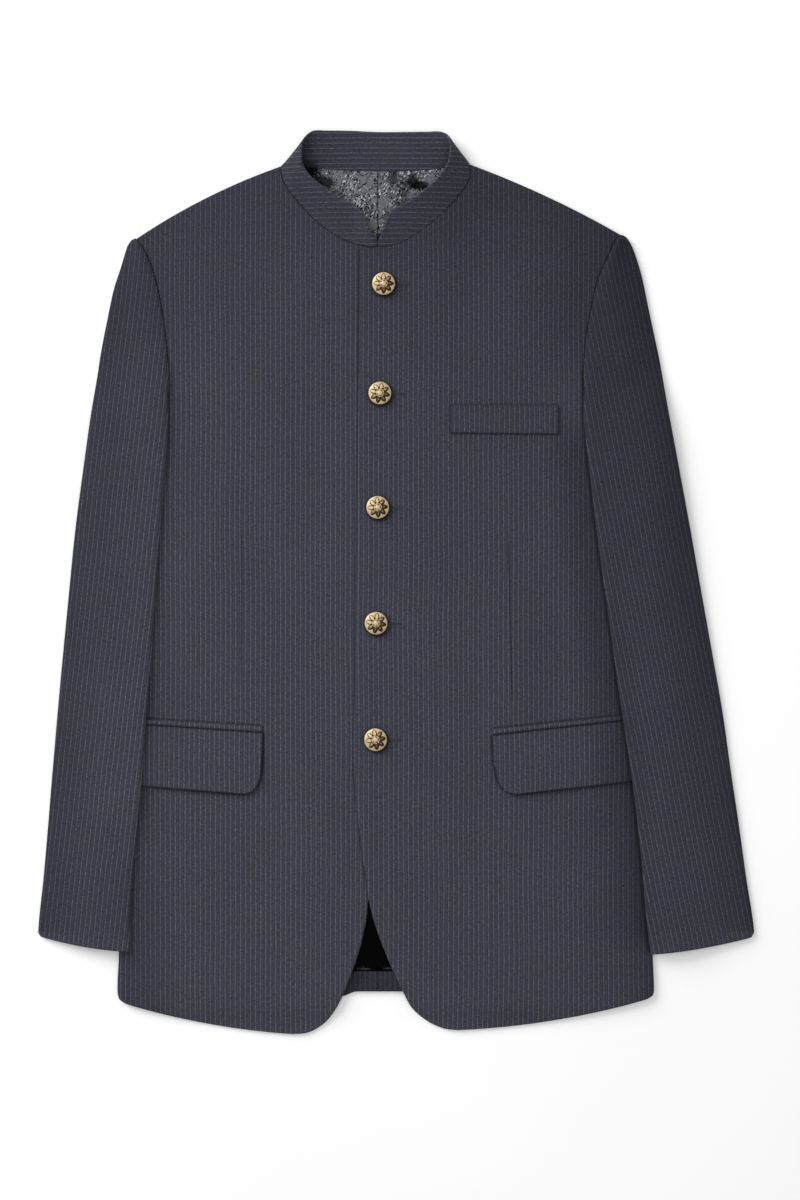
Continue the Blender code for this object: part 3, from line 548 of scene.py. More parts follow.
BODY_OUTLINES = {side: body_below_armhole(side) for side in SIDES}
RIGHT_FRONT_OUTLINE = [tuple(p) for p in along(
    FRONT_EDGE["right"], np.linspace(0, len(FRONT_EDGE["right"]) - 1, 61), (0,))]
RIGHT_FRONT_OUTLINE += [SIDE["right"][-1], ARMHOLE["right"][-1], ARMHOLE["right"][1]]


def front_base(x, y, side):
    """Underside of a front; its hem reaches past the back's and sinks to the floor."""
    drop = FRONT_BASE * smooth(-FRONT_HEM_DROP_FROM, -FRONT_HEM_DROP_TO, -y)
    base = FRONT_BASE - drop
    if side == "left":
        distance = outside_distance(x, y, RIGHT_FRONT_OUTLINE)
        away = smooth(OVERLAP_FULL_WITHIN, OVERLAP_ENDS_AT, distance)
        base = base + OVERLAP_RISE * (1.0 - away)
    return base


def oval(x, y, centre, radii):
    """Distance from the middle of an oval, 1 at its outline."""
    return np.hypot((x - centre[0]) / radii[0], (y - centre[1]) / radii[1])


def front_swell(x, y, side):
    """The canvas's swell at the chest and the pad's lift at the shoulder."""
    return (CHEST_SWELL * bell(oval(x, y, CHEST_CENTRES[side], CHEST_RADII))
            + SHOULDER_PAD * bell(oval(x, y, PAD_CENTRES[side], PAD_RADII)))


def lifted(x, y, side):
    """Creases of a front, never below its solid's underside."""
    return np.maximum(-DEEPEST_CREASE, relief(x, y, "front_" + side)) + DEEPEST_CREASE


def front_top(x, y, side):
    return (front_base(x, y, side) + FRONT_WALL + front_swell(x, y, side)
            + lifted(x, y, side))


def plan_uv(x, y, angle=0.0):
    """Cloth coordinates in metres; the stripes run along the second one."""
    turn = math.radians(angle)
    return np.stack([x * math.cos(turn) - y * math.sin(turn),
                     x * math.sin(turn) + y * math.cos(turn)], axis=-1) * METRES


def grid_faces(rows, columns, offset=0):
    index = np.arange(rows * columns).reshape(rows, columns) + offset
    return np.stack([index[:-1, :-1], index[1:, :-1], index[1:, 1:], index[:-1, 1:]],
                    axis=-1).reshape(-1, 4)


def border_faces(rows, columns):
    """Quads that join the rims of two grids that follow each other."""
    index = np.arange(rows * columns).reshape(rows, columns)
    loop = np.concatenate([index[0, :-1], index[:-1, -1], index[-1, :0:-1], index[:0:-1, 0]])
    after = np.roll(loop, -1)
    under = rows * columns
    return np.stack([loop, after, after + under, loop + under], axis=-1)


def linked(name, data):
    """A new object in the scene."""
    obj = bpy.data.objects.new(name, data)
    bpy.context.scene.collection.objects.link(obj)
    return obj


def make_mesh(name, points, faces, uv, material):
    """An object from points in millimetres, quads and one cloth coordinate per point."""
    points = np.asarray(points, float) * METRES
    faces = np.asarray(faces, int)
    a, b, c, d = (points[faces[:, k]] for k in range(4))
    volume = np.einsum("ij,ij->i", a, np.cross(b, c) + np.cross(c, d)).sum()
    if volume < 0:
        faces = faces[:, ::-1]
    mesh = bpy.data.meshes.new(name)
    mesh.vertices.add(len(points))
    mesh.vertices.foreach_set("co", points.ravel())
    mesh.loops.add(faces.size)
    mesh.loops.foreach_set("vertex_index", faces.ravel())
    mesh.polygons.add(len(faces))
    mesh.polygons.foreach_set("loop_start", np.arange(0, faces.size, 4))
    mesh.update(calc_edges=True)
    layer = mesh.uv_layers.new(name="cloth")
    layer.data.foreach_set("uv", uv[faces.ravel()].ravel())
    mesh.shade_smooth()
    mesh.materials.append(material)
    return linked(name, mesh)


def rim_distance(points):
    """Distance in mm from each point of a grid to its nearest border along the grid."""
    nearest = np.full(points.shape[:2], FAR)
    for axis in (0, 1):
        steps = np.linalg.norm(np.diff(points, axis=axis), axis=2)
        start = np.zeros_like(np.take(steps, [0], axis=axis))
        run = np.cumsum(np.concatenate([start, steps], axis=axis), axis=axis)
        nearest = np.minimum(nearest, np.minimum(run, np.take(run, [-1], axis=axis) - run))
    return nearest


def wall(name, outer, inner, uv, material):
    """Closed cloth wall between two grids of points."""
    rows, columns = outer.shape[:2]
    points = np.concatenate([outer.reshape(-1, 3), inner.reshape(-1, 3)])
    faces = np.concatenate([grid_faces(rows, columns),
                            grid_faces(rows, columns, rows * columns)[:, ::-1],
                            border_faces(rows, columns)])
    uv = np.concatenate([uv.reshape(-1, 2), uv.reshape(-1, 2)])
    piece = make_mesh(name, points, faces, uv, material)
    rim = piece.data.attributes.new("rim", "FLOAT", "POINT")
    rim.data.foreach_set("value", np.concatenate([rim_distance(outer).ravel(),
                                                  rim_distance(inner).ravel()]))
    return piece


def stack(lattice, z):
    return np.stack([lattice.x, lattice.y, z], axis=-1)


def dress(piece, *nodes):
    """The piece rides on the root and stands for CAD nodes, which are hidden."""
    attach(piece, "root")
    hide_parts(*nodes)


def make_front(side, material):
    neckline = front_neckline(side)
    at = Lattice(side_line(side), neckline + FRONT_EDGE[side], FRONT_STATIONS[side],
                 FINE_STEPS, FINE_STEPS, FRONT_COLUMNS, (underarm(side),),
                 (len(neckline) - 1, len(neckline)))
    fold = smooth(*(underarm(side) + step for step in FOLD_STARTS), at.start_at)
    near = np.minimum(np.minimum(at.from_end, at.from_bottom), at.from_top)
    near_side = blend(at.from_start, SIDE_FOLD_ROLL[0], fold)
    base = front_base(at.x, at.y, side)
    thickness = FRONT_WALL + front_swell(at.x, at.y, side)
    lift = lifted(at.x, at.y, side)
    top = base + thickness + lift
    top = top - edge_round(np.minimum(near, near_side), *FRONT_ROLL)
    top = top - fold * edge_round(at.from_start, *SIDE_FOLD_ROLL)
    under = base + lift * smooth(0.0, CREASE_FADE, at.near_edge())
    under = under - fold * edge_round(at.from_start, LINING_MARGIN - 1.0,
                                      FRONT_BASE - LINING_BASE)
    closing = (top - under) * 0.5 * edge_round(np.minimum(near, at.from_start), *CLOSING_ROLL)
    uv = plan_uv(at.x + STRIPE_SHIFT[side], at.y)
    return wall("front_%s_cloth" % side, stack(at, top - closing),
                stack(at, np.maximum(under + closing, 0.0)), uv, material)


def back_lattice(side, margin):
    neckline = back_neckline(side)
    centre_x = CENTRE_BACK_X + (-CENTRE_GAP if side == "right" else CENTRE_GAP) / 2
    neckline[-1] = (centre_x, neckline[-1][1])
    last_y = BACK_HEM_Y + HEM_TURN_DEPTH + HEM_LATTICE_STOPS
    centre = [(centre_x, CHEST_LINE_Y), (centre_x, last_y)]
    steps = [margin + step for step in FINE_STEPS]
    return Lattice(side_line(side), neckline + centre, BACK_STATIONS[side], steps, FINE_STEPS,
                   BACK_COLUMNS, (underarm(side),), (1, len(neckline) - 1), BACK_REFINE)


def back_hem_y(x):
    """The back's hem dips where the right front's cutaway edge lies on it."""
    return BACK_HEM_Y - BACK_HEM_DIP * bell((x - BACK_HEM_DIP_X) / BACK_HEM_DIP_REACH)


def down_to_hem(at, heights):
    """A back lattice's x, y and edge distances, with rows that go on to the dipping hem."""
    hem = back_hem_y(at.x[-1])
    rows = [blend(at.y[-1], hem + heights[0], k / ROWS_ABOVE_HEM)
            for k in range(1, ROWS_ABOVE_HEM)]
    added = np.array(rows + [hem + height for height in heights])
    x, start, end = (np.vstack([values, np.repeat(values[-1:], len(added), axis=0)])
                     for values in (at.x, at.from_start, at.from_end))
    return (x, np.vstack([at.y, added]), start, end,
            np.vstack([at.from_top, np.full_like(added, FAR)]))


def make_back(side, material):
    x, y, start, end, from_top = down_to_hem(back_lattice(side, 0.0), HEM_ROW_HEIGHTS)
    above_hem = y - back_hem_y(x)
    doubled = 1.0 - smooth(*(HEM_TURN_DEPTH + step for step in HEM_STEP), above_hem)
    doubled = doubled * smooth(*HEM_SIDE_FADE, start)
    edge = np.minimum(np.minimum(start, end * CENTRE_EDGE[0] + CENTRE_EDGE[1]), from_top)
    top = BACK_WALL + (LINING_BASE + LINING_WALL - BACK_WALL) * doubled
    top = top - edge_round(above_hem, *HEM_ROLL) - edge_round(edge, *THIN_ROLL)
    under = edge_round(above_hem, *HEM_UNDER_ROLL) + edge_round(edge, *THIN_ROLL)
    return wall("back_%s_cloth" % side, np.stack([x, y, top], axis=-1),
                np.stack([x, y, under], axis=-1), plan_uv(x, y), material)


def make_lining(side, material):
    """Half of the back's lining: it stops at the neck seam and at the turned-up hem."""
    at = back_lattice(side, LINING_MARGIN)
    arrays = down_to_hem(at, [HEM_TURN_DEPTH + LINING_OVER_HEM])
    x, y, _, end, _ = (values[LINING_SKIPPED_ROWS:] for values in arrays)
    seam = edge_round(end + LINING_SEAM_OFFSET, *LINING_SEAM_ROLL) * (y < LINING_SEAM_BELOW)
    outer = np.stack([x, y, LINING_BASE + LINING_WALL - seam], axis=-1)
    inner = np.stack([x, y, np.full_like(x, LINING_BASE)], axis=-1)
    return wall("lining_%s_cloth" % side, outer, inner, plan_uv(x, y), material)


# Profiles of a sleeve's folded edge: distance in from the edge and height over the
# underside, for the top sleeve's outer and inner skins.
NOSE_OUTER = [
    (1.3, 0.12), (0.8, 0.16), (0.4, 0.32), (0.12, 0.62), (0, 1.05), (0.03, 1.5), (0.2, 2),
    (0.5, 2.4), (0.95, 2.75), (1.6, 3.03), (2.6, 3.25), (4, 3.36), (6, 3.4), (9, 3.4),
]
NOSE_INNER = [
    (1.35, 0.2), (1.3, 0.35), (1.25, 0.5), (1.2, 0.7), (1.2, 0.9), (1.25, 1.05), (1.35, 1.2),
    (1.5, 1.35), (1.8, 1.5), (2.2, 1.62), (2.9, 1.72), (4.2, 1.78), (6, 1.8), (9, 1.8),
]
# The same along the armhole seam: distances in from it, and heights of both skins
SEAM_DISTANCES = [0.2, 0.22, 0.25, 0.3, 0.4, 0.55, 0.75, 1.05, 1.4, 2, 2.9, 4.2, 6, 9]
SEAM_OUTER = [2.5, 2.65, 2.8, 2.93, 3.04, 3.13, 3.2, 3.26, 3.31, 3.35, 3.38, 3.4, 3.4, 3.4]
SEAM_INNER = [2.3, 2.2, 2.1, 2, 1.94, 1.9, 1.87, 1.84, 1.82, 1.8, 1.8, 1.8, 1.8, 1.8]


def sleeve_lift(x, y, side):
    """Height of the sleeve's underside: the floor, or the body where it lies over it."""
    flap = smooth(*FLAP_BUMP_BELOW, y) * (1.0 - smooth(*FLAP_BUMP_ABOVE, y))
    on_body = front_top(x, y, side) + DRAPE_GAP + flap * (FLAP_WALL + GAP)
    distance = outside_distance(x, y, BODY_OUTLINES[side])
    return on_body * (1.0 - smooth(LIFT_FULL_WITHIN, LIFT_ENDS_AT, distance))


def seam_share(end_at, side):
    """1 where the sleeve's inner edge is the armhole seam, 0 where it is a fold."""
    return 1.0 - smooth(*(NARROWEST[side] + step for step in SEAM_ENDS), end_at)


def sleeve_lattice(side, steps, seam_steps, middle):
    """Lattice with columns close to the folds, and others close to the armhole seam."""
    inner_line = ARMHOLE[side][:NARROWEST[side] + 1] + SLEEVE_INNER[side]

    def end_steps(end_at):
        return blend(np.array(steps), np.array(seam_steps), seam_share(end_at, side)[:, None])

    return Lattice(SLEEVE_OUTER[side], inner_line, SLEEVE_STATIONS[side], steps, end_steps,
                   middle, (0,))


def sleeve_skin(side, profile, seam_heights):
    """One skin of the top sleeve, wrapped round its folded edges."""
    steps, heights = np.array(profile).T
    at = sleeve_lattice(side, steps, SEAM_DISTANCES, SLEEVE_COLUMNS)
    seam = seam_share(at.end_at, side)
    columns = len(heights)
    level = np.full(at.x.shape, heights[-1])
    level[:, :columns] = heights
    end_heights = blend(heights, np.array(seam_heights), seam[:, -columns:][:, ::-1])
    level[:, -columns:] = end_heights[:, ::-1]
    share = np.clip(at.share, 0.0, 1.0)
    crown = SLEEVE_CROWN * np.maximum(0.0, 4 * share * (1 - share)) ** SLEEVE_CROWN_POWER
    lift = sleeve_lift(at.x, at.y, side)
    seam_top = front_top(at.x[:, -1:], at.y[:, -1:], side) + SLEEVE_HEAD_ROLL
    raised = np.maximum(0.0, seam_top - SLEEVE_STACK - lift[:, -1:])
    head = raised * seam[:, -1:] * smooth(*HEAD_ROLL_SHARES, share)
    fade = smooth(0.0, FOLD_FADE, np.minimum(at.from_start, blend(at.from_end, FOLD_FADE, seam)))
    fade = fade * smooth(0.0, CUFF_FADE, at.from_bottom)
    return at, lift + level + crown + head + relief(at.x, at.y, "sleeve_" + side) * fade


def make_top_sleeve(side, material):
    at, outer = sleeve_skin(side, NOSE_OUTER, SEAM_OUTER)
    under_at, inner = sleeve_skin(side, NOSE_INNER, SEAM_INNER)
    outer = outer - edge_round(at.from_bottom, *CUFF_ROLL)
    inner = np.minimum(inner, outer - LEAST_WALL)
    uv = plan_uv(at.x, at.y, GRAIN["sleeve_" + side])
    return wall("sleeve_%s_top_cloth" % side, stack(at, outer), stack(under_at, inner), uv,
                material)


def make_under_sleeve(side, material):
    steps = [UNDER_SLEEVE_MARGIN + step for step in FINE_STEPS]
    seam_steps = [UNDER_SLEEVE_SEAM_MARGIN + step for step in FINE_STEPS]
    at = sleeve_lattice(side, steps, seam_steps, UNDER_SLEEVE_COLUMNS)
    end_margin = blend(UNDER_SLEEVE_MARGIN, UNDER_SLEEVE_SEAM_MARGIN,
                       seam_share(at.end_at, side))
    near = np.minimum(at.from_start - UNDER_SLEEVE_MARGIN, at.from_end - end_margin)
    near = np.minimum(near, np.minimum(at.from_top, at.from_bottom))
    lift = sleeve_lift(at.x, at.y, side)
    curve = edge_round(near, *UNDER_SLEEVE_ROLL)
    uv = plan_uv(at.x, at.y, GRAIN["sleeve_" + side])
    return wall("sleeve_%s_under_cloth" % side, stack(at, lift + SLEEVE_UNDER_WALL - curve),
                stack(at, lift + curve), uv, material)


def make_collar(material):
    """Band between its seam edge and its top edge, in one piece round the neck."""
    last = len(COLLAR_SECTIONS) - 1
    at = np.linspace(0, last, last * COLLAR_ROWS_PER_SECTION + 1)
    seam = along([section[:3] for section in COLLAR_SECTIONS], at,
                 (RIGHT_NECK_SECTION, LEFT_NECK_SECTION))
    top = along([section[3:] for section in COLLAR_SECTIONS], at)
    width = np.linalg.norm(top - seam, axis=1)
    middle = seam[:, None] + (top - seam)[:, None] * COLLAR_SHARES[None, :, None]
    normal = np.cross(np.gradient(middle, axis=0), np.gradient(middle, axis=1))
    normal /= np.linalg.norm(normal, axis=2)[..., None]
    pinch = blend(SEAM_PINCH, 1.0, smooth(0.0, 0.05, COLLAR_SHARES))
    normal[..., :2] *= pinch[None, :, None]
    from_top = (1.0 - COLLAR_SHARES)[None, :] * width[:, None]
    half = COLLAR_HALF_WALL - edge_round(from_top, *COLLAR_TOP_ROLL)
    ends = np.minimum(np.arange(len(at)), np.arange(len(at))[::-1])[:, None] * 1.0
    half = half * (1.0 - edge_round(ends, *COLLAR_END_ROLL))
    # In plan the sections follow the band's outer face, so its middle lies further in
    middle[..., :2] += normal[..., :2] * COLLAR_HALF_WALL
    offset = normal * half[..., None]
    uv = np.stack([middle[..., 1], middle[..., 0]], axis=-1) * METRES
    return wall("collar_cloth", middle + offset, middle - offset, uv, material)


def make_patch(name, side, edges, grid, thickness, material, lift=None):
    """A small piece that lies on a front, between two side edges given top to bottom."""
    start_edge, end_edge = edges
    rows, columns = grid
    stations = [(0, 0, 0, 0), (len(start_edge) - 1, len(end_edge) - 1, rows, 0)]
    at = Lattice(start_edge, end_edge, stations, SMALL_PIECE_STEPS, SMALL_PIECE_STEPS, columns,
                 refine=1)
    floor = front_top(at.x, at.y, side) + GAP
    curve = edge_round(at.near_edge(), *THIN_ROLL)
    raised = lift(at) if lift else 0.0
    uv = plan_uv(at.x + SMALL_PIECE_STRIPE_SHIFT, at.y)
    under = floor + UNDERSIDE_CURVE * curve + UNDERSIDE_RISE * raised
    return wall(name, stack(at, floor + thickness - curve + raised), stack(at, under), uv,
                material)


def make_pocket(side, material):
    """A flap that stands off a little along its free edges, under a rounded piping."""
    def lift(at):
        covered = at.from_end if side == "left" else at.from_start
        free = smooth(*FLAP_FREE_BELOW, at.from_top) * smooth(*FLAP_FREE_FROM_SLEEVE, covered)
        return FLAP_RISE * free - FLAP_TUCK * smooth(FLAP_TUCK_DEPTH, 0.0, at.from_top)

    def roll(at):
        across = np.minimum(at.from_top, at.from_bottom)
        ends = smooth(0.0, PIPING_ENDS, np.minimum(at.from_start, at.from_end))
        round_top = np.sqrt(np.clip(across / PIPING_HALF, 0.0, 1.0))
        return ends * (PIPING_ROLL * round_top - PIPING_SINK)

    flap = make_patch("flap_%s_cloth" % side, side, FLAP_EDGES[side], FLAP_GRID, FLAP_WALL,
                      material, lift)
    jet = [[(x, upper), (x, lower)] for x, upper, lower in JET_ENDS[side]]
    piping = make_patch("jet_%s_cloth" % side, side, jet, PIPING_GRID, JET_WALL, material, roll)
    return flap, piping


def make_welt(material):
    top_start, top_end, bottom_start, bottom_end = WELT_CORNERS
    edges = [top_start, bottom_start], [top_end, bottom_end]
    return make_patch("welt_cloth", "left", edges, WELT_GRID, WELT_WALL, material)


# A button's profile: radius and height over the front's cloth
BUTTON_PROFILE = [
    (2.2, 0.3), (2.2, 1.9), (6, 1.95), (9.6, 2), (10.6, 2.2), (10.95, 2.5), (11, 2.8),
    (10.9, 3.15), (10.65, 3.5), (10.3, 3.8), (9.95, 4.05), (9.6, 4.25), (9.2, 4.42), (8.8, 4.58),
    (8.4, 4.72), (8, 4.86), (7.6, 4.98), (7.2, 5.1), (6.8, 5.21), (6.4, 5.31), (6, 5.4),
    (5.6, 5.48), (5.2, 5.56), (4.8, 5.63), (4.4, 5.69), (4, 5.74), (3.6, 5.76), (3.3, 5.76),
    (3, 5.8), (2.75, 5.95), (2.5, 6.2), (2.2, 6.42), (1.8, 6.62), (1.3, 6.8), (0.7, 6.91),
    (0.25, 6.95),
]
BUTTON_SEGMENTS = 144
# Turn of each button on its shank, in degrees
BUTTON_TURNS = (0, -13, 4, -8, 9)
# The chasing starts past the rim: after this ring and within this radius
CHASED_AFTER_RING = 9
CHASED_WITHIN = 10.1
PETALS = 8
PETAL_RADII = (4.6, 9.3)
PETAL_TAPER = 0.63
# A petal's angle in radians
PETAL_ARC = 0.785
PETAL_RISE = 0.16
OUTLINE_HALF_WIDTH = 0.5
OUTLINE_DEPTH = 0.26
# Rings by radius and width: pierced dots between the petals' feet, dots round the boss and
# the darker shoulder of the outlines
PIERCED_RING = (4.5, 0.8)
PIERCED_DEPTH = 0.3
BOSS_RING = (2.75, 0.45)
BOSS_DOTS = 5
SHOULDER_RING = (7.4, 1.1)
VEIN_RADIUS = 7.6
VEIN_RATE = 1.9
# The petals are painted with shade on the side away from the light, which comes from up and
# left, and stay bright on the lit side: turn that brings the shaded side to angle 0, cosines
# over which it sets in, and radii where it shows
SHADED_SIDE_TURN = 0.25 * math.pi
SHADED_SIDE_COSINES = (-0.45, 0.25)
SHADED_SIDE_RADII = (2.7, 4.2)
SHADED_SIDE_WITHIN = 9.6
# Painted shade round the button's edge, deepest away from the light: radii and cosines where it
# sets in
EDGE_SHADE_RADII = (10.35, 10.8)
EDGE_SHADE_TURN = (-0.7, 0.2)


def petal_edge(radius, angle):
    """Distance in mm inside a pointed petal's outline, negative outside it."""
    turn = np.abs((angle * PETALS / (2 * math.pi) + 0.5) % 1.0 - 0.5)
    reach = (radius - PETAL_RADII[0]) / (PETAL_RADII[1] - PETAL_RADII[0])
    half = 0.5 * np.clip(1.0 - reach, 0.0, 1.0) ** PETAL_TAPER * smooth(-0.25, 0.1, reach)
    near = (reach > -0.2) & (reach < 1.08)
    return np.where(near, (half - turn) * radius * PETAL_ARC, -1.0)


def near_ring(radius, ring):
    """1 on a ring, fading over its width."""
    return np.exp(-((radius - ring[0]) / ring[1]) ** 2)


def button_relief(profile, radius, angle):
    """Height, patina and painted shade of a chased flower: dark outlines, a plain rim and a boss.
    """
    inside = petal_edge(radius, angle)
    chased = (np.arange(len(profile)) > CHASED_AFTER_RING)[:, None] * (radius < CHASED_WITHIN)
    outline = np.exp(-(inside / OUTLINE_HALF_WIDTH) ** 2) * chased
    petal = smooth(0.05, 0.5, inside) * chased
    pierced = near_ring(radius, PIERCED_RING) * smooth(0.2, 0.6, -np.cos(angle * PETALS))
    boss = near_ring(radius, BOSS_RING)
    boss = boss * (0.3 + 0.6 * smooth(0.1, 0.7, np.cos(angle * BOSS_DOTS)))
    height = (profile[:, 1:] + PETAL_RISE * petal - OUTLINE_DEPTH * outline
              - PIERCED_DEPTH * pierced * chased)
    # Painted shade on the petals and their outlines on the side away from the light
    toward_shaded_side = np.cos(angle + SHADED_SIDE_TURN)
    shaded_side = smooth(*SHADED_SIDE_COSINES, toward_shaded_side) * smooth(*SHADED_SIDE_RADII, radius) * (radius < SHADED_SIDE_WITHIN)
    vein = 0.5 * np.cos((radius - VEIN_RADIUS) * VEIN_RATE) * np.cos(angle * 2 * PETALS)
    vein = smooth(0.1, 0.9, 0.5 + vein)
    # Painted shade round the outer edge, deepest on the side away from the light
    edge = smooth(*EDGE_SHADE_RADII, radius) * (0.55 + 0.4 * smooth(*EDGE_SHADE_TURN, toward_shaded_side))
    # Patina in the chasing, the pierced dots and the boss, plus the painted shade
    patina_and_shade = outline * (0.58 + 0.28 * near_ring(radius, SHOULDER_RING) + 0.4 * shaded_side)
    patina_and_shade = patina_and_shade + petal * shaded_side * (0.40 + 0.42 * vein) + (pierced + boss) * chased + edge
    return height, np.clip(patina_and_shade, 0.0, 1.0)


def make_button_mesh(material):
    """A domed button, turned from its profile."""
    profile = np.array(BUTTON_PROFILE)
    angle = np.arange(BUTTON_SEGMENTS) / BUTTON_SEGMENTS * 2 * math.pi + 0 * profile[:, :1]
    radius = profile[:, :1] + 0 * angle
    height, patina_and_shade = button_relief(profile, radius, angle)
    points = np.stack([radius * np.cos(angle), radius * np.sin(angle), height], axis=-1)
    index = np.arange(radius.size).reshape(radius.shape)
    after = np.roll(index, -1, axis=1)
    faces = np.stack([index[:-1], after[:-1], after[1:], index[1:]], axis=-1).reshape(-1, 4)
    caps = [index[0][::-1].tolist(), index[-1].tolist()]
    mesh = bpy.data.meshes.new("button_relief")
    mesh.from_pydata((points.reshape(-1, 3) * METRES).tolist(), [], faces.tolist() + caps)
    shade = mesh.color_attributes.new("patina_and_shade", "FLOAT_COLOR", "POINT")
    values = np.repeat(patina_and_shade.reshape(-1, 1), 4, axis=1)
    values[:, 3] = 1.0
    shade.data.foreach_set("color", values.ravel())
    mesh.shade_smooth()
    mesh.materials.append(material)
    return mesh


def make_button(number, mesh):
    x, y = BUTTON_CENTRES[number - 1]
    button = linked("button_%d_metal" % number, mesh)
    height = float(front_top(np.array(x), np.array(y), "left"))
    button.location = (x * METRES, y * METRES, height * METRES)
    button.rotation_euler = (0.0, 0.0, math.radians(BUTTON_TURNS[number - 1]))
    return button


# A buttonhole: its start from its button's centre, its length and its stitches, and the
# section across the slit as place and height
BUTTONHOLE_START = (-2.0, -0.4)
BUTTONHOLE_LENGTH = 25.5
STITCHES = 44
STITCH_RISE = 0.16
STITCH_LEVEL = 0.02
# The far end narrows to this share over the last stitches
BAR_WIDTH = 0.35
BAR_STITCHES = 3.0
SLIT_HALF = [(1.1, 0.0), (0.95, 0.32), (0.55, 0.5), (0.2, 0.3), (0.1, 0.02)]
SLIT_SECTION = SLIT_HALF + [(-place, height) for place, height in SLIT_HALF[::-1]]


def make_buttonhole(number, material):
    """A slit between two rows of close stitches, across the front beside its button."""
    x, y = BUTTON_CENTRES[number - 1]
    place, rise = np.array(SLIT_SECTION).T
    k = np.arange(STITCHES + 1)[:, None]
    at_x = x + BUTTONHOLE_START[0] + BUTTONHOLE_LENGTH * k / STITCHES + 0 * place
    narrow = BAR_WIDTH + (1 - BAR_WIDTH) * np.minimum(1.0, (STITCHES - k) / BAR_STITCHES)
    at_y = y + BUTTONHOLE_START[1] + place * narrow
    level = front_top(at_x, at_y, "left") + STITCH_LEVEL
    height = level + rise * (1.0 + STITCH_RISE * (k % 2))
    points = np.stack([at_x, at_y, height], axis=-1)
    uv = np.stack([at_x, 0 * at_x + place], axis=-1).reshape(-1, 2) * METRES
    return make_mesh("buttonhole_%d" % number, points.reshape(-1, 3),
                     grid_faces(*at_x.shape), uv, material)


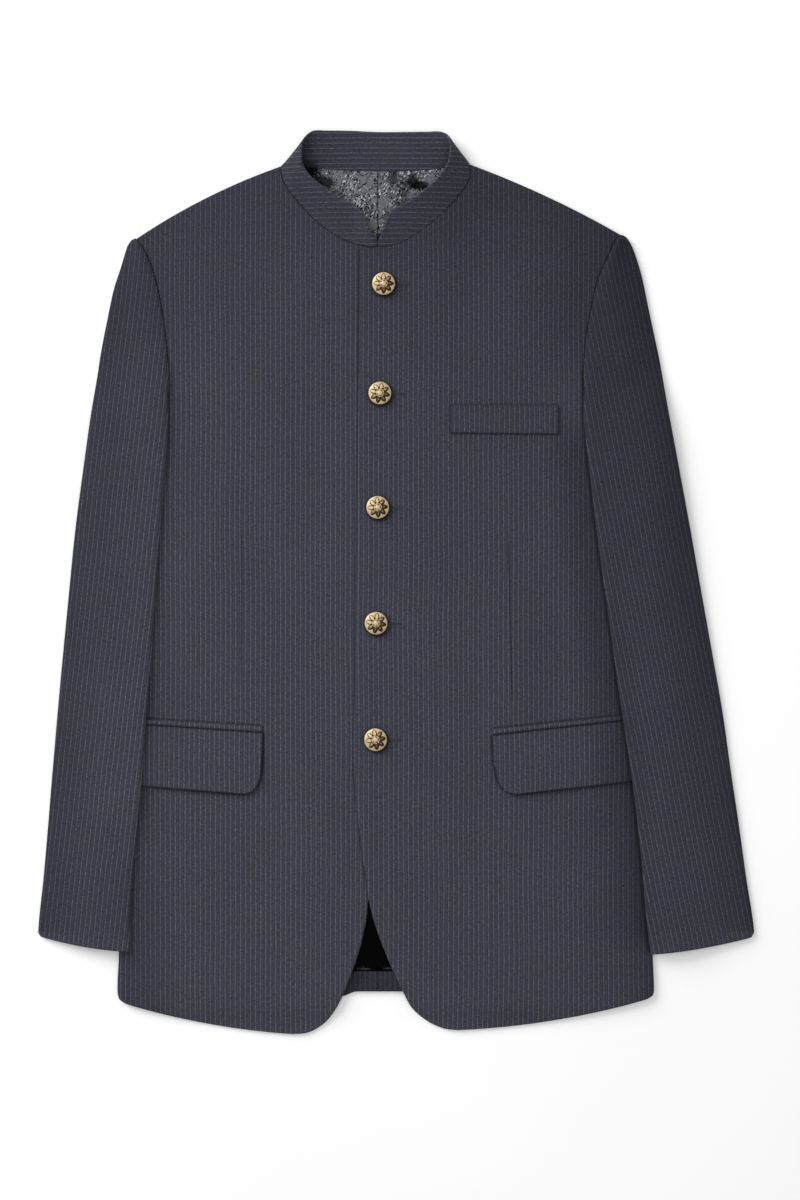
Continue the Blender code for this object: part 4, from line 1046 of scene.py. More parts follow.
class Nodes:
    """Short names for building one material's node tree."""

    def __init__(self, name):
        self.material = bpy.data.materials.new(name)
        self.material.use_nodes = True
        self.tree = self.material.node_tree
        self.shader = self.tree.nodes["Principled BSDF"]

    def add(self, kind, **settings):
        node = self.tree.nodes.new(kind)
        for key, value in settings.items():
            setattr(node, key, value)
        return node

    def put(self, socket, value):
        if isinstance(value, bpy.types.NodeSocket):
            self.tree.links.new(value, socket)
        else:
            socket.default_value = value

    def feed(self, node, **values):
        """Give a node's inputs values or links, each under its label in lower case."""
        for key, value in values.items():
            label = key.replace("_", " ").title().replace("Ior", "IOR")
            self.put(node.inputs[label], value)
        return node

    def math(self, operation, *values, clamp=False):
        node = self.add("ShaderNodeMath", operation=operation, use_clamp=clamp)
        for socket, value in zip(node.inputs, values):
            self.put(socket, value)
        return node.outputs[0]

    def plus(self, a, b):
        return self.math("ADD", a, b)

    def times(self, a, b):
        return self.math("MULTIPLY", a, b)

    def combine(self, x, y, z=0.0):
        node = self.add("ShaderNodeCombineXYZ")
        for socket, value in zip(node.inputs, (x, y, z)):
            self.put(socket, value)
        return node.outputs[0]

    def parts(self, vector, axes):
        """Parts of a vector, from metres to millimetres."""
        node = self.add("ShaderNodeSeparateXYZ")
        self.put(node.inputs[0], vector)
        return [self.times(node.outputs[axis], 1.0 / METRES) for axis in axes]

    def cloth_mm(self):
        """Cloth coordinates in millimetres: across the stripes and along them."""
        return self.parts(self.add("ShaderNodeUVMap", uv_map="cloth").outputs["UV"], "XY")

    def place(self):
        return self.add("ShaderNodeTexCoord").outputs["Object"]

    def plan_mm(self):
        """Place in plan in millimetres, and the height."""
        return self.parts(self.place(), "XYZ")

    def noise(self, vector, scale, detail=2.0, roughness=0.5, output="Fac"):
        node = self.add("ShaderNodeTexNoise")
        self.feed(node, vector=vector, scale=scale, detail=detail, roughness=roughness)
        return node.outputs[output]

    def warped(self, vector, scale, reach):
        """A plan point pushed about by a smooth noise."""
        node = self.add("ShaderNodeVectorMath", operation="MULTIPLY_ADD")
        push = self.noise(vector, scale, 1.5, output="Color")
        for socket, value in zip(node.inputs, (push, (reach, reach, 0.0), vector)):
            self.put(socket, value)
        return node.outputs[0]

    def cells(self, vector, sizes, turn, feature="F1"):
        """Cells of a size in mm each way, turned by degrees: the Voronoi node's outputs."""
        scaled = self.add("ShaderNodeMapping", vector_type="TEXTURE")
        self.feed(scaled, vector=vector, rotation=(0.0, 0.0, math.radians(turn)),
                  scale=(sizes[0], sizes[1], 1.0))
        node = self.add("ShaderNodeTexVoronoi", feature=feature)
        return self.feed(node, vector=scaled.outputs["Vector"], scale=1.0).outputs

    def ramp(self, value, stops):
        """A colour or a level that changes evenly between stops."""
        node = self.add("ShaderNodeValToRGB")
        while len(node.color_ramp.elements) < len(stops):
            node.color_ramp.elements.new(0.5)
        for element, (place, level) in zip(node.color_ramp.elements, stops):
            element.position = place
            colour = level if hasattr(level, "__len__") else (level, level, level)
            element.color = tuple(colour) + (1.0,)
        self.put(node.inputs["Fac"], value)
        return node.outputs["Color"]

    def between(self, value, low, high, to_low=0.0, to_high=1.0):
        """A value from low to high, brought evenly to another range and kept within it."""
        node = self.add("ShaderNodeMapRange", clamp=True)
        self.feed(node, value=value, from_min=low, from_max=high, to_min=to_low, to_max=to_high)
        return node.outputs["Result"]

    def mix(self, share, a, b, blend_type="MIX"):
        node = self.add("ShaderNodeMix", data_type="RGBA", blend_type=blend_type)
        for number, value in zip((0, 6, 7), (share, a, b)):
            self.put(node.inputs[number], value)
        return node.outputs[2]

    def scaled(self, colour, red, green, blue):
        """A colour with each of its channels multiplied by a level."""
        return self.mix(1.0, colour, self.combine(red, green, blue), "MULTIPLY")

    def pool(self, x, y, centre, radii):
        """Distance from the middle of an oval, 1 at its outline."""
        across, lengthwise = (
            self.math("DIVIDE", self.math("SUBTRACT", value, middle), radius)
            for value, middle, radius in zip((x, y), centre, radii))
        return self.math("SQRT", self.plus(self.times(across, across),
                                           self.times(lengthwise, lengthwise)))

    def curve(self, value, points):
        """A value as a polyline's function of another one."""
        lows, highs = np.min(points, axis=0), np.max(points, axis=0) + 1e-4
        node = self.add("ShaderNodeFloatCurve")
        self.feed(node, value=self.between(value, lows[0], highs[0]))
        marks = node.mapping.curves[0].points
        while len(marks) < len(points):
            marks.new(0.5, 0.5)
        for mark, point in zip(marks, sorted(points)):
            mark.location = (np.array(point) - lows) / (highs - lows)
            mark.handle_type = "VECTOR"
        node.mapping.update()
        return self.between(node.outputs[0], 0.0, 1.0, lows[1], highs[1])

    def line(self, mark, across, lengthwise):
        """Share of shade in a soft line that runs through plan points."""
        run_x, run_y = np.abs(np.subtract(mark.points[-1], mark.points[0]))
        flat = run_x > run_y
        run, level = (across, lengthwise) if flat else (lengthwise, across)
        points = [tuple(p) if flat else (p[1], p[0]) for p in mark.points]
        away = self.math("SUBTRACT", level, self.curve(run, points))
        one_side = 1.0
        if mark.side:
            away = self.times(away, mark.side)
            one_side = self.between(away, -0.4, 0.1)
        else:
            away = self.math("ABSOLUTE", away)
        first, last = min(points)[0], max(points)[0]
        start_fade, end_fade = (1.0, 1.0) if flat else (0.7 * mark.fade, mark.fade)
        share = self.times(self.between(run, first - 0.5, first + start_fade),
                           self.between(run, last + 0.5, last - end_fade))
        line = self.between(away, mark.half, mark.half + mark.soft, mark.depth, 0.0)
        return self.times(self.times(share, line), one_side)

    def finish(self, colour, height, distance, strength, **settings):
        """The shader's colour and settings, and its bump: a height of 1 is distance metres."""
        bump = self.add("ShaderNodeBump")
        self.feed(bump, strength=strength, distance=distance, height=height)
        self.feed(self.shader, base_color=colour, normal=bump.outputs["Normal"], **settings)
        return self.material


# A line of painted shade in plan: points, half width, softness and depth; a negative depth
# paints light.  Side 1 or -1 keeps it on the greater or lesser side only.  Fade is the length
# over which an upright line sets in at its top, and 0.7 of it at its foot.
Mark = namedtuple("Mark", "points half soft depth side fade", defaults=(0, 1.0))
# Marks that are less soft than this are also pressed into the cloth
GROOVE_SOFTNESS = 1.5


def moved(points, dx, dy=0.0):
    return [(x + dx, y + dy) for x, y in points]


def box_marks(corners, depths):
    """Shaded lines just outside a small piece: top, bottom, left and right."""
    top_start, top_end, low_start, low_end = corners
    lines = [moved([top_start, top_end], 0.0, 0.5), moved([low_start, low_end], 0.0, -0.5),
             moved([top_start, low_start], -0.5), moved([top_end, low_end], 0.5)]
    return [Mark(line, 0.5, 0.9, depth) for line, depth in zip(lines, depths)]


def jet_marks(side, upper, lower):
    """Painted shade in a piping's grooves, deeper over the flap, and painted light on its roll.
    """
    rows = [[(x, blend(top, bottom, share)) for x, top, bottom in JET_ENDS[side]]
            for share in (-0.1, 0.5, 1.05)]
    return [Mark(rows[0], 0.5, 1.0, upper), Mark(rows[1], 0.6, 1.2, -0.16),
            Mark(rows[2], 0.4, 0.9, lower)]


def flap_marks(side, way, depth, far):
    """Painted shade along a flap's free edges and the soft shadow painted past them, in x one
    way.
    """
    start, end = FLAP_EDGES[side]
    free, covered = (end, start) if side == "right" else (start, end)
    low = moved([covered[-1]] + free[:2:-1], 0.0, -0.9)
    free_half = [blend(np.array(low[0]), np.array(low[1]), 0.45), low[1]]
    outer = moved(free[:4], 0.5 * way)
    return [Mark(low, 0.5, 0.9, 0.30), Mark(free_half, 0.5, 0.9, 0.18),
            Mark(low, 0.5, 5.0, 0.18, -1), Mark(free_half, 0.5, 5.0, 0.16, -1),
            Mark(outer, 0.55, 0.9, depth), Mark(outer, 0.5, 2.0, far, way)]


LEFT_FRONT_EDGE = FRONT_EDGE["left"][:7]
# Painted shade along the left front's edge, round the armholes, beside the sleeves, round the
# pockets and in soft hollows, and painted light just inside the left front's edge and on the
# pipings' rolls; the darts' lines are dark seams
FRONT_MARKS = {
    "right": [
        Mark([(-144.8, 59.5), (-146.0, -95.0)], 0.25, 0.5, 0.50, fade=20.0),
        Mark(moved(LEFT_FRONT_EDGE, -0.6), 0.45, 0.9, 0.42),
        Mark([(-213.0, 190.0), (-212.9, 165.0), (-214.0, 125.0)], 0.5, 1.2, 0.18, fade=4.0),
        Mark(ARMHOLE["right"][1:7], 0.0, 28.0, 0.08, fade=20.0),
        Mark([(-88.0, 140.0), (-86.0, 25.0)], 6.0, 24.0, 0.08, fade=30.0),
        Mark([(-146.0, 105.0), (-146.0, -20.0)], 4.0, 26.0, 0.07, fade=30.0),
        Mark([(-226.0, -255.0), (-226.0, -430.0)], 4.0, 26.0, 0.10, fade=30.0),
    ] + jet_marks("right", 0.42, 0.46) + flap_marks("right", 1, 0.56, 0.36),
    "left": [
        Mark([(105.0, 52.0), (108.6, -113.5)], 0.3, 0.5, 0.62, fade=20.0),
        Mark(moved([(176.0, 200.0), (176.0, 180.0)] + SLEEVE_INNER["left"], -1.2),
             0.7, 1.2, 0.58, fade=4.0),
        Mark(SLEEVE_INNER["left"], 0.0, 42.0, 0.41, -1, 30.0),
        Mark(SLEEVE_INNER["left"][5:], 0.0, 14.0, 0.22, -1, 30.0),
        Mark([(127.0, 20.0), (127.0, -150.0)], 4.0, 24.0, 0.10, fade=30.0),
        Mark([(183.0, -195.0), (187.0, -340.0)], 6.0, 24.0, 0.09, fade=30.0),
        Mark([(215.0, 400.0)] + ARMHOLE["left"][1:9], 0.0, 70.0, 0.21, fade=75.0),
        Mark(moved(LEFT_FRONT_EDGE, 1.6), 0.3, 1.2, -0.10),
    ] + jet_marks("left", 0.46, 0.52) + flap_marks("left", -1, 0.44, 0.3)
      + box_marks(WELT_CORNERS, (0.20, 0.28, 0.34, 0.30)),
}
# Painted shade along the sleeves' outer folds and broadly in from them, and along the left
# sleeve's inner edge; painted light along the right sleeve's inner side; the soft bands are
# painted shade on the left sleeve and painted light on the right one
SLEEVE_MARKS = {
    "right": [Mark(SLEEVE_OUTER["right"][1:-1], 0.8, 2.2, 0.30),
              Mark(SLEEVE_OUTER["right"][1:-1], 0.0, 40.0, 0.27),
              Mark([(-213.0, 200.0)] + SLEEVE_INNER["right"][:-2], 14.0, 36.0, -0.25,
                   fade=80.0),
              Mark([(-262.0, -90.0), (-270.0, -230.0)], 4.0, 26.0, -0.08, fade=40.0)],
    "left": [Mark(SLEEVE_OUTER["left"][1:-1], 0.8, 2.2, 0.20),
             Mark(SLEEVE_OUTER["left"][1:-1], 0.0, 42.0, 0.34),
             Mark(SLEEVE_OUTER["left"][13:-1], 0.0, 18.0, 0.14, fade=20.0),
             Mark(SLEEVE_INNER["left"][4:], 0.0, 18.0, 0.17, fade=20.0),
             Mark([(246.0, 60.0), (262.0, -60.0)], 8.0, 26.0, 0.09, fade=40.0)],
}
# Shade in the collar's two turns, and the light on its rolled edge
LEFT_TURN = [(48.0, 417.0), (50.6, 406.0), (47.7, 390.0)]
COLLAR_MARKS = [
    Mark([(-86.0, 418.0), (-89.0, 402.5), (-87.0, 389.0)], 0.0, 12.0, 0.36, 1, 4.0),
    Mark(LEFT_TURN, 0.2, 0.9, -0.30, fade=3.0),
    Mark(LEFT_TURN, 0.0, 8.0, 0.16, -1, 4.0),
    Mark([(-90.0, 393.0), (-74.0, 389.5)], 2.0, 5.0, 0.55, fade=3.0),
    Mark([(-98.0, 372.0), (-72.0, 350.0), (-40.0, 333.0)], 0.0, 24.0, 0.18, fade=8.0),
] + [Mark([(s.top_x, s.top_y - 0.6) for s in sections], 0.3, 1.0, -0.28)
     for sections in (COLLAR_SECTIONS[1:6], COLLAR_SECTIONS[-2:-7:-1])]
# The hem's inner face lies in the shade of the fronts
BACK_MARKS = [Mark([(-75.0, -378.0), (30.0, -378.0)], 22.0, 14.0, 0.42),
              Mark([(-49.0, -395.0), (-36.0, -366.0)], 4.0, 9.0, 0.35)]
# Marks on the back show on its turned-up hem only, above this height
BACK_MARKS_ABOVE = 1.0
# Painted broad shading of the cloth as it turns to and from the light: against y, then against x
FRONT_PAINTED_SHADING = {
    "right": ([
        (-424, 1.1), (-20, 1.08), (120, 1.03), (218, 0.97), (300, 0.87), (331, 0.79), (390, 0.74),
    ], [
        (-255, 0.73), (-241, 0.81), (-213, 0.95), (-190, 0.99), (-20, 1),
    ]),
    "left": ([
        (-424, 1.13), (-130, 1.1), (0, 1.06), (180, 0.97), (285, 0.86), (320, 0.735),
        (350, 0.665),
    ], [
        (0, 1.01), (70, 0.98), (130, 0.95), (175, 0.91), (210, 0.85), (240, 0.63),
    ]),
}
SLEEVE_PAINTED_SHADING = {
    "right": ([
        (-345, 1.25), (-325, 1.05), (77, 1.02), (190, 0.97), (246, 0.9), (322, 0.87),
    ], ()),
    "left": ([
        (-345, 1.24), (-325, 1.18), (-250, 1.15), (-120, 1.03), (0, 0.98), (77, 0.9), (125, 0.86),
        (190, 0.76), (246, 0.72), (322, 0.69),
    ], ()),
}
COLLAR_PAINTED_SHADING = ((), [
    (-110, 0.8), (-85, 0.92), (-66, 1), (0, 1), (40, 0.99), (60, 0.92),
])

# Suiting: stripes' pitch in mm, and colours of the ground and the stripe's thread
STRIPE_PITCH = 4.69
PALE_THREAD = (2.44, 2.40, 2.20)
SUITING_COLOUR = (0.0352, 0.0360, 0.0524)
WARM_TINT = (1.03, 1.0, 0.93)
PLAIN_GROUND = (0.97, 0.97, 0.97, 1.0)
# Level across one stripe and its ground, and the ridge that the stripe makes
STRIPE_LEVELS = [(0.0, 0.78), (0.07, 0.86), (0.12, PALE_THREAD), (0.23, PALE_THREAD),
                 (0.28, 1.1), (0.36, 0.82), (0.58, 0.95), (0.74, 0.93), (0.86, 0.78)]
STRIPE_RIDGE = [(0.0, 0.0), (0.10, 1.0), (0.24, 1.0), (0.34, 0.0)]
# Clouds of noise: changes per mm across and along the stripes, detail and roughness
SLOW_DRIFT = (0.006, 0.009, 1.0)
QUICK_DRIFT = (0.04, 0.09, 1.0)
DRIFT_REACHES = (3.0, 0.6)
BROKEN_THREAD = (0.21, 0.55, 3.0, 0.65)
COARSE_SPECKS = (0.50, 0.36, 2.0, 0.6)
FINE_SPECKS = (1.25, 0.85, 2.0, 0.6)
BROAD_TONE = (0.012, 0.009)
WARM_PATCHES = (0.05, 0.035, 2.0)
TWILL_SLOPE = 0.6
TWILL_PITCH = 0.85
TWILL_DEPTH = 0.03
# Deeper levels lose their blue more slowly
BLUE_POWER = 0.86
# Painted shade at each piece's rim: full within the first distance, gone at the second
RIM_SHADE_WIDTH = (0.3, 2.4)
# Shade on the cloth round a button: offset, radii, share of them where it ends, and level
BUTTON_SHADE_OFFSET = (0.6, -0.9)
BUTTON_SHADE_RADII = (11.2, 11.2)
BUTTON_SHADE_END = 1.22
BUTTON_SHADE = 0.40
# Height of the twill, the specks, the stripe's ridge and the grooves, in steps of the bump
TWILL_HEIGHT = 0.22
SPECK_HEIGHT = 2.2
STRIPE_HEIGHT = 0.5
GROOVE_HEIGHT = -3.0
SUITING_BUMP = (0.00018, 0.6)


def shaded_level(n, level, marks, above):
    """The level under lines of painted shade and light, and the grooves they press into the
    cloth.
    """
    groove = 0.0
    x, y, z = n.plan_mm()
    for mark in marks:
        shade = n.line(mark, x, y)
        if above is not None:
            shade = n.times(shade, n.between(z, above, above + 0.3))
        level = n.times(level, n.math("SUBTRACT", 1.0, shade))
        if mark.soft < GROOVE_SOFTNESS:
            groove = n.math("MAXIMUM", groove, shade)
    return level, groove


def lit_level(n, level, painted_shading, shaded, rim):
    """The level with the buttons' shade, painted broad shading and painted shade along the rim.
    """
    x, y, _ = n.plan_mm()
    for centre in shaded:
        away = n.pool(x, y, np.add(centre, BUTTON_SHADE_OFFSET), BUTTON_SHADE_RADII)
        level = n.times(level, n.between(away, 1.0, BUTTON_SHADE_END, BUTTON_SHADE, 1.0))
    # Painted broad shading, as the cloth turns to and from the light
    for place, tone in zip((y, x), painted_shading):
        if tone:
            level = n.times(level, n.curve(place, tone))
    # Painted shade darkens the cloth towards each piece's rim
    near = n.add("ShaderNodeAttribute", attribute_name="rim").outputs["Fac"]
    return n.times(level, n.between(near, *RIM_SHADE_WIDTH, 1.0 - rim, 1.0))


def suiting(name, tint_and_shade, marks, painted_shading=((), ()), rim=0.25, above=None, shaded=()):
    """Fine worsted: narrow pale pinstripe, mottled twill ground, painted shade and light."""
    n = Nodes(name)
    across, lengthwise = n.cloth_mm()

    def cloud(per_mm_across, per_mm_along, detail=2.0, roughness=0.5):
        vector = n.combine(n.times(across, per_mm_across), n.times(lengthwise, per_mm_along))
        return n.noise(vector, 1.0, detail, roughness)

    drift = n.plus(*(n.times(cloud(*kind), reach)
                     for kind, reach in zip((SLOW_DRIFT, QUICK_DRIFT), DRIFT_REACHES)))
    phase = n.math("FRACT", n.math("DIVIDE", n.plus(across, drift), STRIPE_PITCH))
    # Threads of the stripe come and go along it
    broken = n.between(cloud(*BROKEN_THREAD), 0.30, 0.68, 0.12, 1.30)
    stripe = n.mix(broken, PLAIN_GROUND, n.ramp(phase, STRIPE_LEVELS))
    grain = cloud(*FINE_SPECKS)
    speckle = n.plus(n.between(cloud(*COARSE_SPECKS), 0.22, 0.78, -0.42, 0.42),
                     n.between(grain, 0.25, 0.75, -0.50, 0.50))
    slant = n.plus(across, n.times(lengthwise, TWILL_SLOPE))
    twill = n.math("SINE", n.times(slant, 2 * math.pi / TWILL_PITCH))
    broad = n.between(cloud(*BROAD_TONE), 0.3, 0.7, 0.95, 1.05)
    level = n.times(n.plus(speckle, 1.0), n.times(broad, tint_and_shade))
    level = n.times(level, n.math("MULTIPLY_ADD", twill, TWILL_DEPTH, 1.0))
    level, groove = shaded_level(n, level, marks, above)
    level = lit_level(n, level, painted_shading, shaded, rim)
    # The ground drifts a little between slate blue and warm grey
    warm = n.between(cloud(*WARM_PATCHES), 0.5, 0.72)
    warm_colour = tuple(np.multiply(SUITING_COLOUR, WARM_TINT)) + (1.0,)
    ground = n.mix(warm, SUITING_COLOUR + (1.0,), warm_colour)
    colour = n.scaled(n.mix(1.0, ground, stripe, "MULTIPLY"), level, level,
                      n.math("POWER", level, BLUE_POWER))
    height = n.math("MULTIPLY_ADD", twill, TWILL_HEIGHT, n.times(grain, SPECK_HEIGHT))
    ridge = n.ramp(phase, STRIPE_RIDGE)
    height = n.math("MULTIPLY_ADD", ridge, STRIPE_HEIGHT, height)
    height = n.math("MULTIPLY_ADD", groove, GROOVE_HEIGHT, height)
    return n.finish(colour, height, *SUITING_BUMP, roughness=0.86, specular_ior_level=0.18,
                    sheen_weight=0.06, sheen_roughness=0.55)


# Lining: cells by size in mm and turn in degrees, for the leaves, the dots and the strokes
# of the ground; the points of the leaves and the strokes are warped, by scale and reach
LEAF_CELLS = ((21.0, 9.0), 38.0)
LEAF_WARP = (0.045, 22.0)
LEAVES_CHOSEN = (0.42, 0.44)
DOT_CELLS = ((2.5, 2.3), 20.0)
STROKE_CELLS = ((4.4, 1.5), 58.0)
STROKE_WARP = (0.12, 3.0)
VEIN_SLOPE = (0.45, 0.9)
VEIN_PITCH = 3.3
VEIN_WANDER = (0.09, 16.0)
BLACK = (0.004, 0.004, 0.005, 1.0)
VEIN_COLOUR = (0.22, 0.224, 0.244, 1.0)
STROKE_COLOURS = [(0.15, (0.52, 0.525, 0.55)), (0.33, (0.205, 0.210, 0.230)),
                  (0.58, (0.092, 0.095, 0.109))]
LEAF_COLOURS = [(0.30, (0.094, 0.098, 0.112)), (0.70, (0.130, 0.134, 0.151))]
# Folds of the lining that lie in shade: centre, radii and depth
LINING_POOLS = [
    ((-86.0, 387.0), (16.0, 13.0), 0.985), ((-72.0, 375.0), (15.0, 7.5), 0.86),
    ((-58.0, 362.0), (12.0, 5.0), 0.4), ((15.5, 376.0), (6.0, 8.0), 0.86),
    ((22.0, 372.5), (9.0, 5.0), 0.94), ((-3.0, 381.0), (5.0, 9.0), 0.74),
    ((7.0, 371.0), (6.5, 11.0), 0.55), ((10.0, 356.0), (15.0, 4.5), 0.45),
    ((-17.0, 320.0), (8.0, 13.0), 0.28), ((-22.0, -334.0), (90.0, 56.0), 0.998),
]
# Pale short strokes where the lining meets the turned-up hem: centre and radii
LINING_PALE_STROKES = [((-31.0, -363.0), (7.0, 1.1)), ((-8.0, -362.6), (5.0, 1.0))]
PALE_STROKE_COLOUR = (0.060, 0.061, 0.070, 1.0)


def lining_light(n, x, y, fine):
    """The lining's level in its shaded folds and along the centre seam."""
    shade = 1.0
    for centre, radii, depth in LINING_POOLS:
        ragged = n.plus(n.pool(x, y, centre, radii), n.between(fine, 0.3, 0.7, -0.34, 0.34))
        shade = n.times(shade, n.between(ragged, 0.72, 1.12, 1.0 - depth, 1.0))
    from_seam = n.math("ABSOLUTE", n.math("SUBTRACT", x, CENTRE_BACK_X))
    return n.times(shade, n.between(from_seam, 0.3, 0.9, 0.3, 1.0))


def lining_cloth(name):
    """Silver-grey jacquard: plain leaf shapes on a ground of black and white specks."""
    n = Nodes(name)
    x, y, _ = n.plan_mm()
    place = n.combine(x, y)
    curved = n.warped(place, *LEAF_WARP)
    edge = n.cells(curved, *LEAF_CELLS, "DISTANCE_TO_EDGE")["Distance"]
    chance = n.add("ShaderNodeSeparateColor")
    n.feed(chance, color=n.cells(curved, *LEAF_CELLS)["Color"])
    chosen = n.between(chance.outputs["Red"], *LEAVES_CHOSEN)
    leaf = n.times(n.between(edge, 0.048, 0.060), chosen)
    outline = n.times(n.between(edge, 0.022, 0.034), n.between(edge, 0.046, 0.058, 1.0, 0.0))
    # Veins run slantwise through the leaves
    slant = n.math("MULTIPLY_ADD", x, VEIN_SLOPE[0], n.times(y, VEIN_SLOPE[1]))
    slant = n.math("MULTIPLY_ADD", n.noise(place, VEIN_WANDER[0], 1.0), VEIN_WANDER[1], slant)
    vein = n.between(n.math("SINE", n.times(slant, 2 * math.pi / VEIN_PITCH)), 0.55, 0.9)
    fine = n.noise(place, 0.50, 2.0, 0.6)
    tiny = n.noise(place, 1.1, 1.0, 0.5)
    dots = n.between(n.cells(place, *DOT_CELLS)["Distance"], 0.30, 0.42, 1.0, 0.0)
    strokes = n.cells(n.warped(place, *STROKE_WARP), *STROKE_CELLS)["Distance"]
    ground = n.mix(n.times(dots, n.between(tiny, 0.30, 0.40)), n.ramp(strokes, STROKE_COLOURS),
                   BLACK)
    plain = n.mix(n.times(vein, n.between(fine, 0.42, 0.56)), n.ramp(tiny, LEAF_COLOURS),
                  VEIN_COLOUR)
    colour = n.mix(leaf, ground, plain)
    colour = n.mix(n.times(outline, n.between(fine, 0.44, 0.54, 0.0, 0.9)), colour, BLACK)
    light = lining_light(n, x, y, fine)
    colour = n.scaled(colour, light, light, light)
    for centre, radii in LINING_PALE_STROKES:
        pale = n.between(n.pool(x, y, centre, radii), 0.7, 1.1, 0.8, 0.0)
        pale = n.times(pale, n.between(tiny, 0.42, 0.55))
        colour = n.mix(pale, colour, PALE_STROKE_COLOUR)
    return n.finish(colour, n.plus(n.times(leaf, 0.7), n.times(fine, 0.9)), 0.0002, 0.4,
                    roughness=0.5, specular_ior_level=0.02)


# Colours of the metal, from worn to deep patina and painted shade
BRASS_COLOURS = [(0.06, (0.56, 0.445, 0.27)), (0.32, (0.38, 0.275, 0.145)),
                 (0.58, (0.120, 0.070, 0.030)), (0.85, (0.018, 0.009, 0.004))]
THREAD_COLOUR = (0.02, 0.02, 0.028, 1.0)


def brass(name):
    """Antiqued gilt: dark patina in the chasing, plus painted shade; worn pale on the dome."""
    n = Nodes(name)
    mark = n.add("ShaderNodeVertexColor", layer_name="patina_and_shade").outputs["Color"]
    wear = n.noise(n.place(), 700.0, 3.0, 0.6)
    depth = n.math("ADD", mark, n.between(wear, 0.3, 0.7, -0.10, 0.16), clamp=True)
    return n.finish(n.ramp(depth, BRASS_COLOURS), wear, 0.0001, 0.35, metallic=0.45,
                    roughness=n.between(depth, 0.0, 1.0, 0.54, 0.72))


def thread(name):
    """Dark thread in slanting plies."""
    n = Nodes(name)
    across, lengthwise = n.cloth_mm()
    ply = n.math("SINE", n.times(n.plus(across, n.times(lengthwise, 0.5)), 9.0))
    level = n.math("MULTIPLY_ADD", ply, 0.25, 1.0)
    return n.finish(n.scaled(THREAD_COLOUR, level, level, level), ply, 0.0001, 0.5,
                    roughness=0.7)


# Studio, in metres: the floor's half size and level, the lights' places, sizes and powers,
# and the camera's place
FLOOR_REACH = 6.0
FLOOR_LEVEL = -0.0004
KEY_LIGHT = ((-2.9, 2.2, 1.75), 2.2, 154.0)
OVERHEAD_LIGHT = ((0.0, 0.0, 3.5), 3.0, 42.0)
WORLD_COLOUR = (1.0, 1.0, 1.0, 1.0)
WORLD_STRENGTH = 0.47
CAMERA_PLACE = (0.0033, -0.0167, 2.663)
FOCAL_LENGTH = 85.0
SENSOR_WIDTH = 36.0
CLIP_START = 0.05
CLIP_END = 20.0


def floor_finish():
    n = Nodes("studio_floor")
    tone = n.between(n.noise(n.place(), 2.0), 0.3, 0.7, 0.93, 0.95)
    n.feed(n.shader, base_color=n.combine(tone, tone, tone), roughness=0.9,
           specular_ior_level=0.1)
    return n.material


def make_floor():
    corners = [(-1, -1), (1, -1), (1, 1), (-1, 1)]
    points = [(x * FLOOR_REACH, y * FLOOR_REACH, FLOOR_LEVEL) for x, y in corners]
    mesh = bpy.data.meshes.new("floor")
    mesh.from_pydata(points, [], [(0, 1, 2, 3)])
    mesh.materials.append(floor_finish())
    linked("floor", mesh)


def add_light(name, place, size, power):
    """A square light that aims at the origin."""
    data = bpy.data.lights.new(name, "AREA")
    data.shape = "RECTANGLE"
    data.size = data.size_y = size
    data.energy = power
    lamp = linked(name, data)
    lamp.location = place
    aim = np.zeros(3) - np.array(place)
    lamp.rotation_euler = Vector(aim).to_track_quat("-Z", "Y").to_euler()


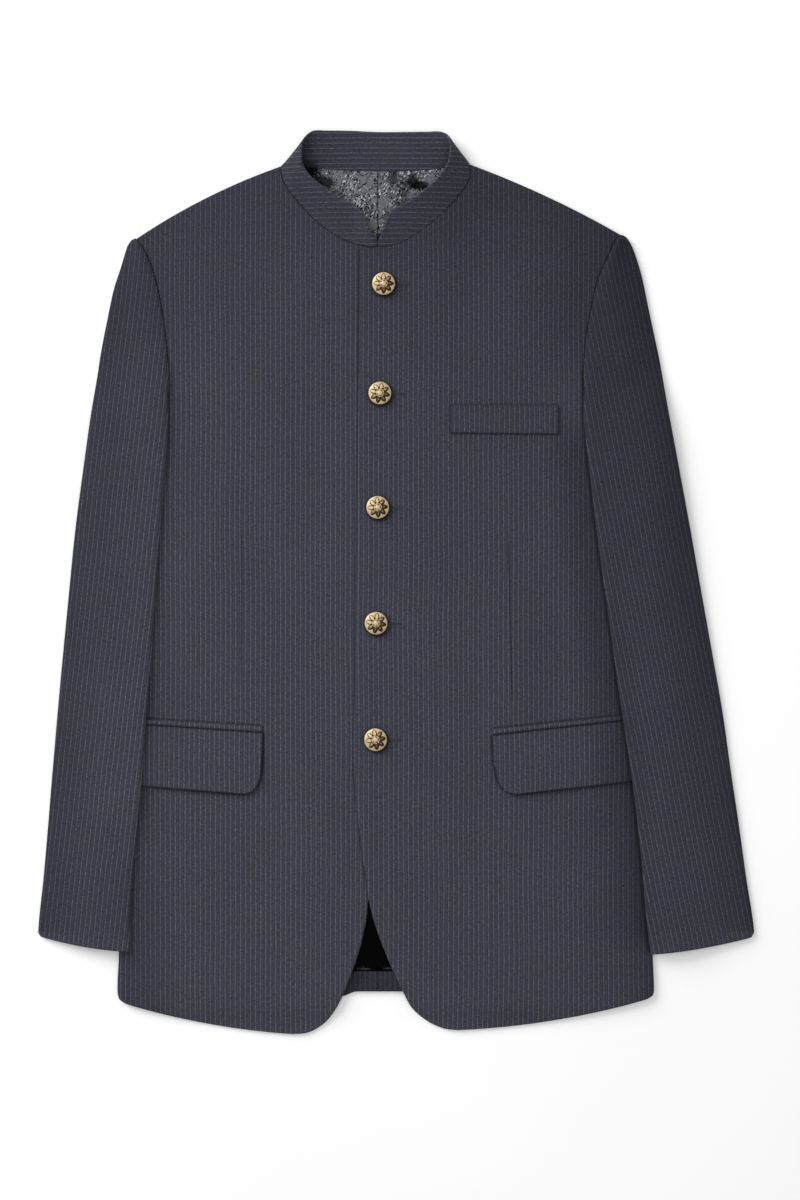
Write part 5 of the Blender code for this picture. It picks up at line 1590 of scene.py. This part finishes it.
def make_studio():
    make_floor()
    add_light("key", *KEY_LIGHT)
    add_light("overhead", *OVERHEAD_LIGHT)
    scene = bpy.context.scene
    scene.world = bpy.data.worlds.new("studio")
    scene.world.use_nodes = True
    background = scene.world.node_tree.nodes["Background"]
    background.inputs["Color"].default_value = WORLD_COLOUR
    background.inputs["Strength"].default_value = WORLD_STRENGTH
    scene.view_settings.view_transform = "Standard"
    scene.view_settings.look = "None"
    lens = bpy.data.cameras.new("camera")
    lens.lens = FOCAL_LENGTH
    lens.sensor_width = SENSOR_WIDTH
    lens.clip_start = CLIP_START
    lens.clip_end = CLIP_END
    scene.camera = linked("camera", lens)
    scene.camera.location = CAMERA_PLACE


make_studio()

# Each copy's level also paints shade: the left front and sleeve, further from the light, are
# darker
front_cloth = {
    "right": suiting("suiting_front_right", 1.03, FRONT_MARKS["right"], FRONT_PAINTED_SHADING["right"]),
    "left": suiting("suiting_front_left", 0.97, FRONT_MARKS["left"], FRONT_PAINTED_SHADING["left"],
                    shaded=BUTTON_CENTRES),
}
sleeve_cloth = {
    side: suiting("suiting_sleeve_" + side, tint_and_shade, SLEEVE_MARKS[side], SLEEVE_PAINTED_SHADING[side])
    for side, tint_and_shade in (("right", 0.87), ("left", 0.78))
}
collar_cloth = suiting("suiting_collar", 0.94, COLLAR_MARKS, COLLAR_PAINTED_SHADING, rim=0.0)
back_cloth = suiting("suiting_back", 0.9, BACK_MARKS, above=BACK_MARKS_ABOVE)
lining = lining_cloth("lining_jacquard")
metal = brass("antique_brass")
slit_thread = thread("buttonhole_thread")


def cloth(piece, node, *below):
    dress(piece, node)


for side in SIDES:
    cloth(make_back(side, back_cloth), "back_" + side, "floor")
    cloth(make_lining(side, lining), "lining_" + side, "back_" + side)
    cloth(make_front(side, front_cloth[side]), "front_" + side, "lining_" + side)
    flap, piping = make_pocket(side, front_cloth[side])
    cloth(flap, "flap_" + side, "front_" + side)
    cloth(piping, "jet_" + side, "front_" + side)
    cloth(make_under_sleeve(side, sleeve_cloth[side]), "sleeve_%s_under" % side, "floor")
    cloth(make_top_sleeve(side, sleeve_cloth[side]), "sleeve_%s_top" % side, "floor")
cloth(make_collar(collar_cloth), "collar", "front_left", "front_right")
cloth(make_welt(front_cloth["left"]), "welt", "front_left")
relief_mesh = make_button_mesh(metal)
for number in range(1, len(BUTTON_CENTRES) + 1):
    dress(make_button(number, relief_mesh), "button_%d" % number)
    hole = make_buttonhole(number, slit_thread)
    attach(hole, "root")
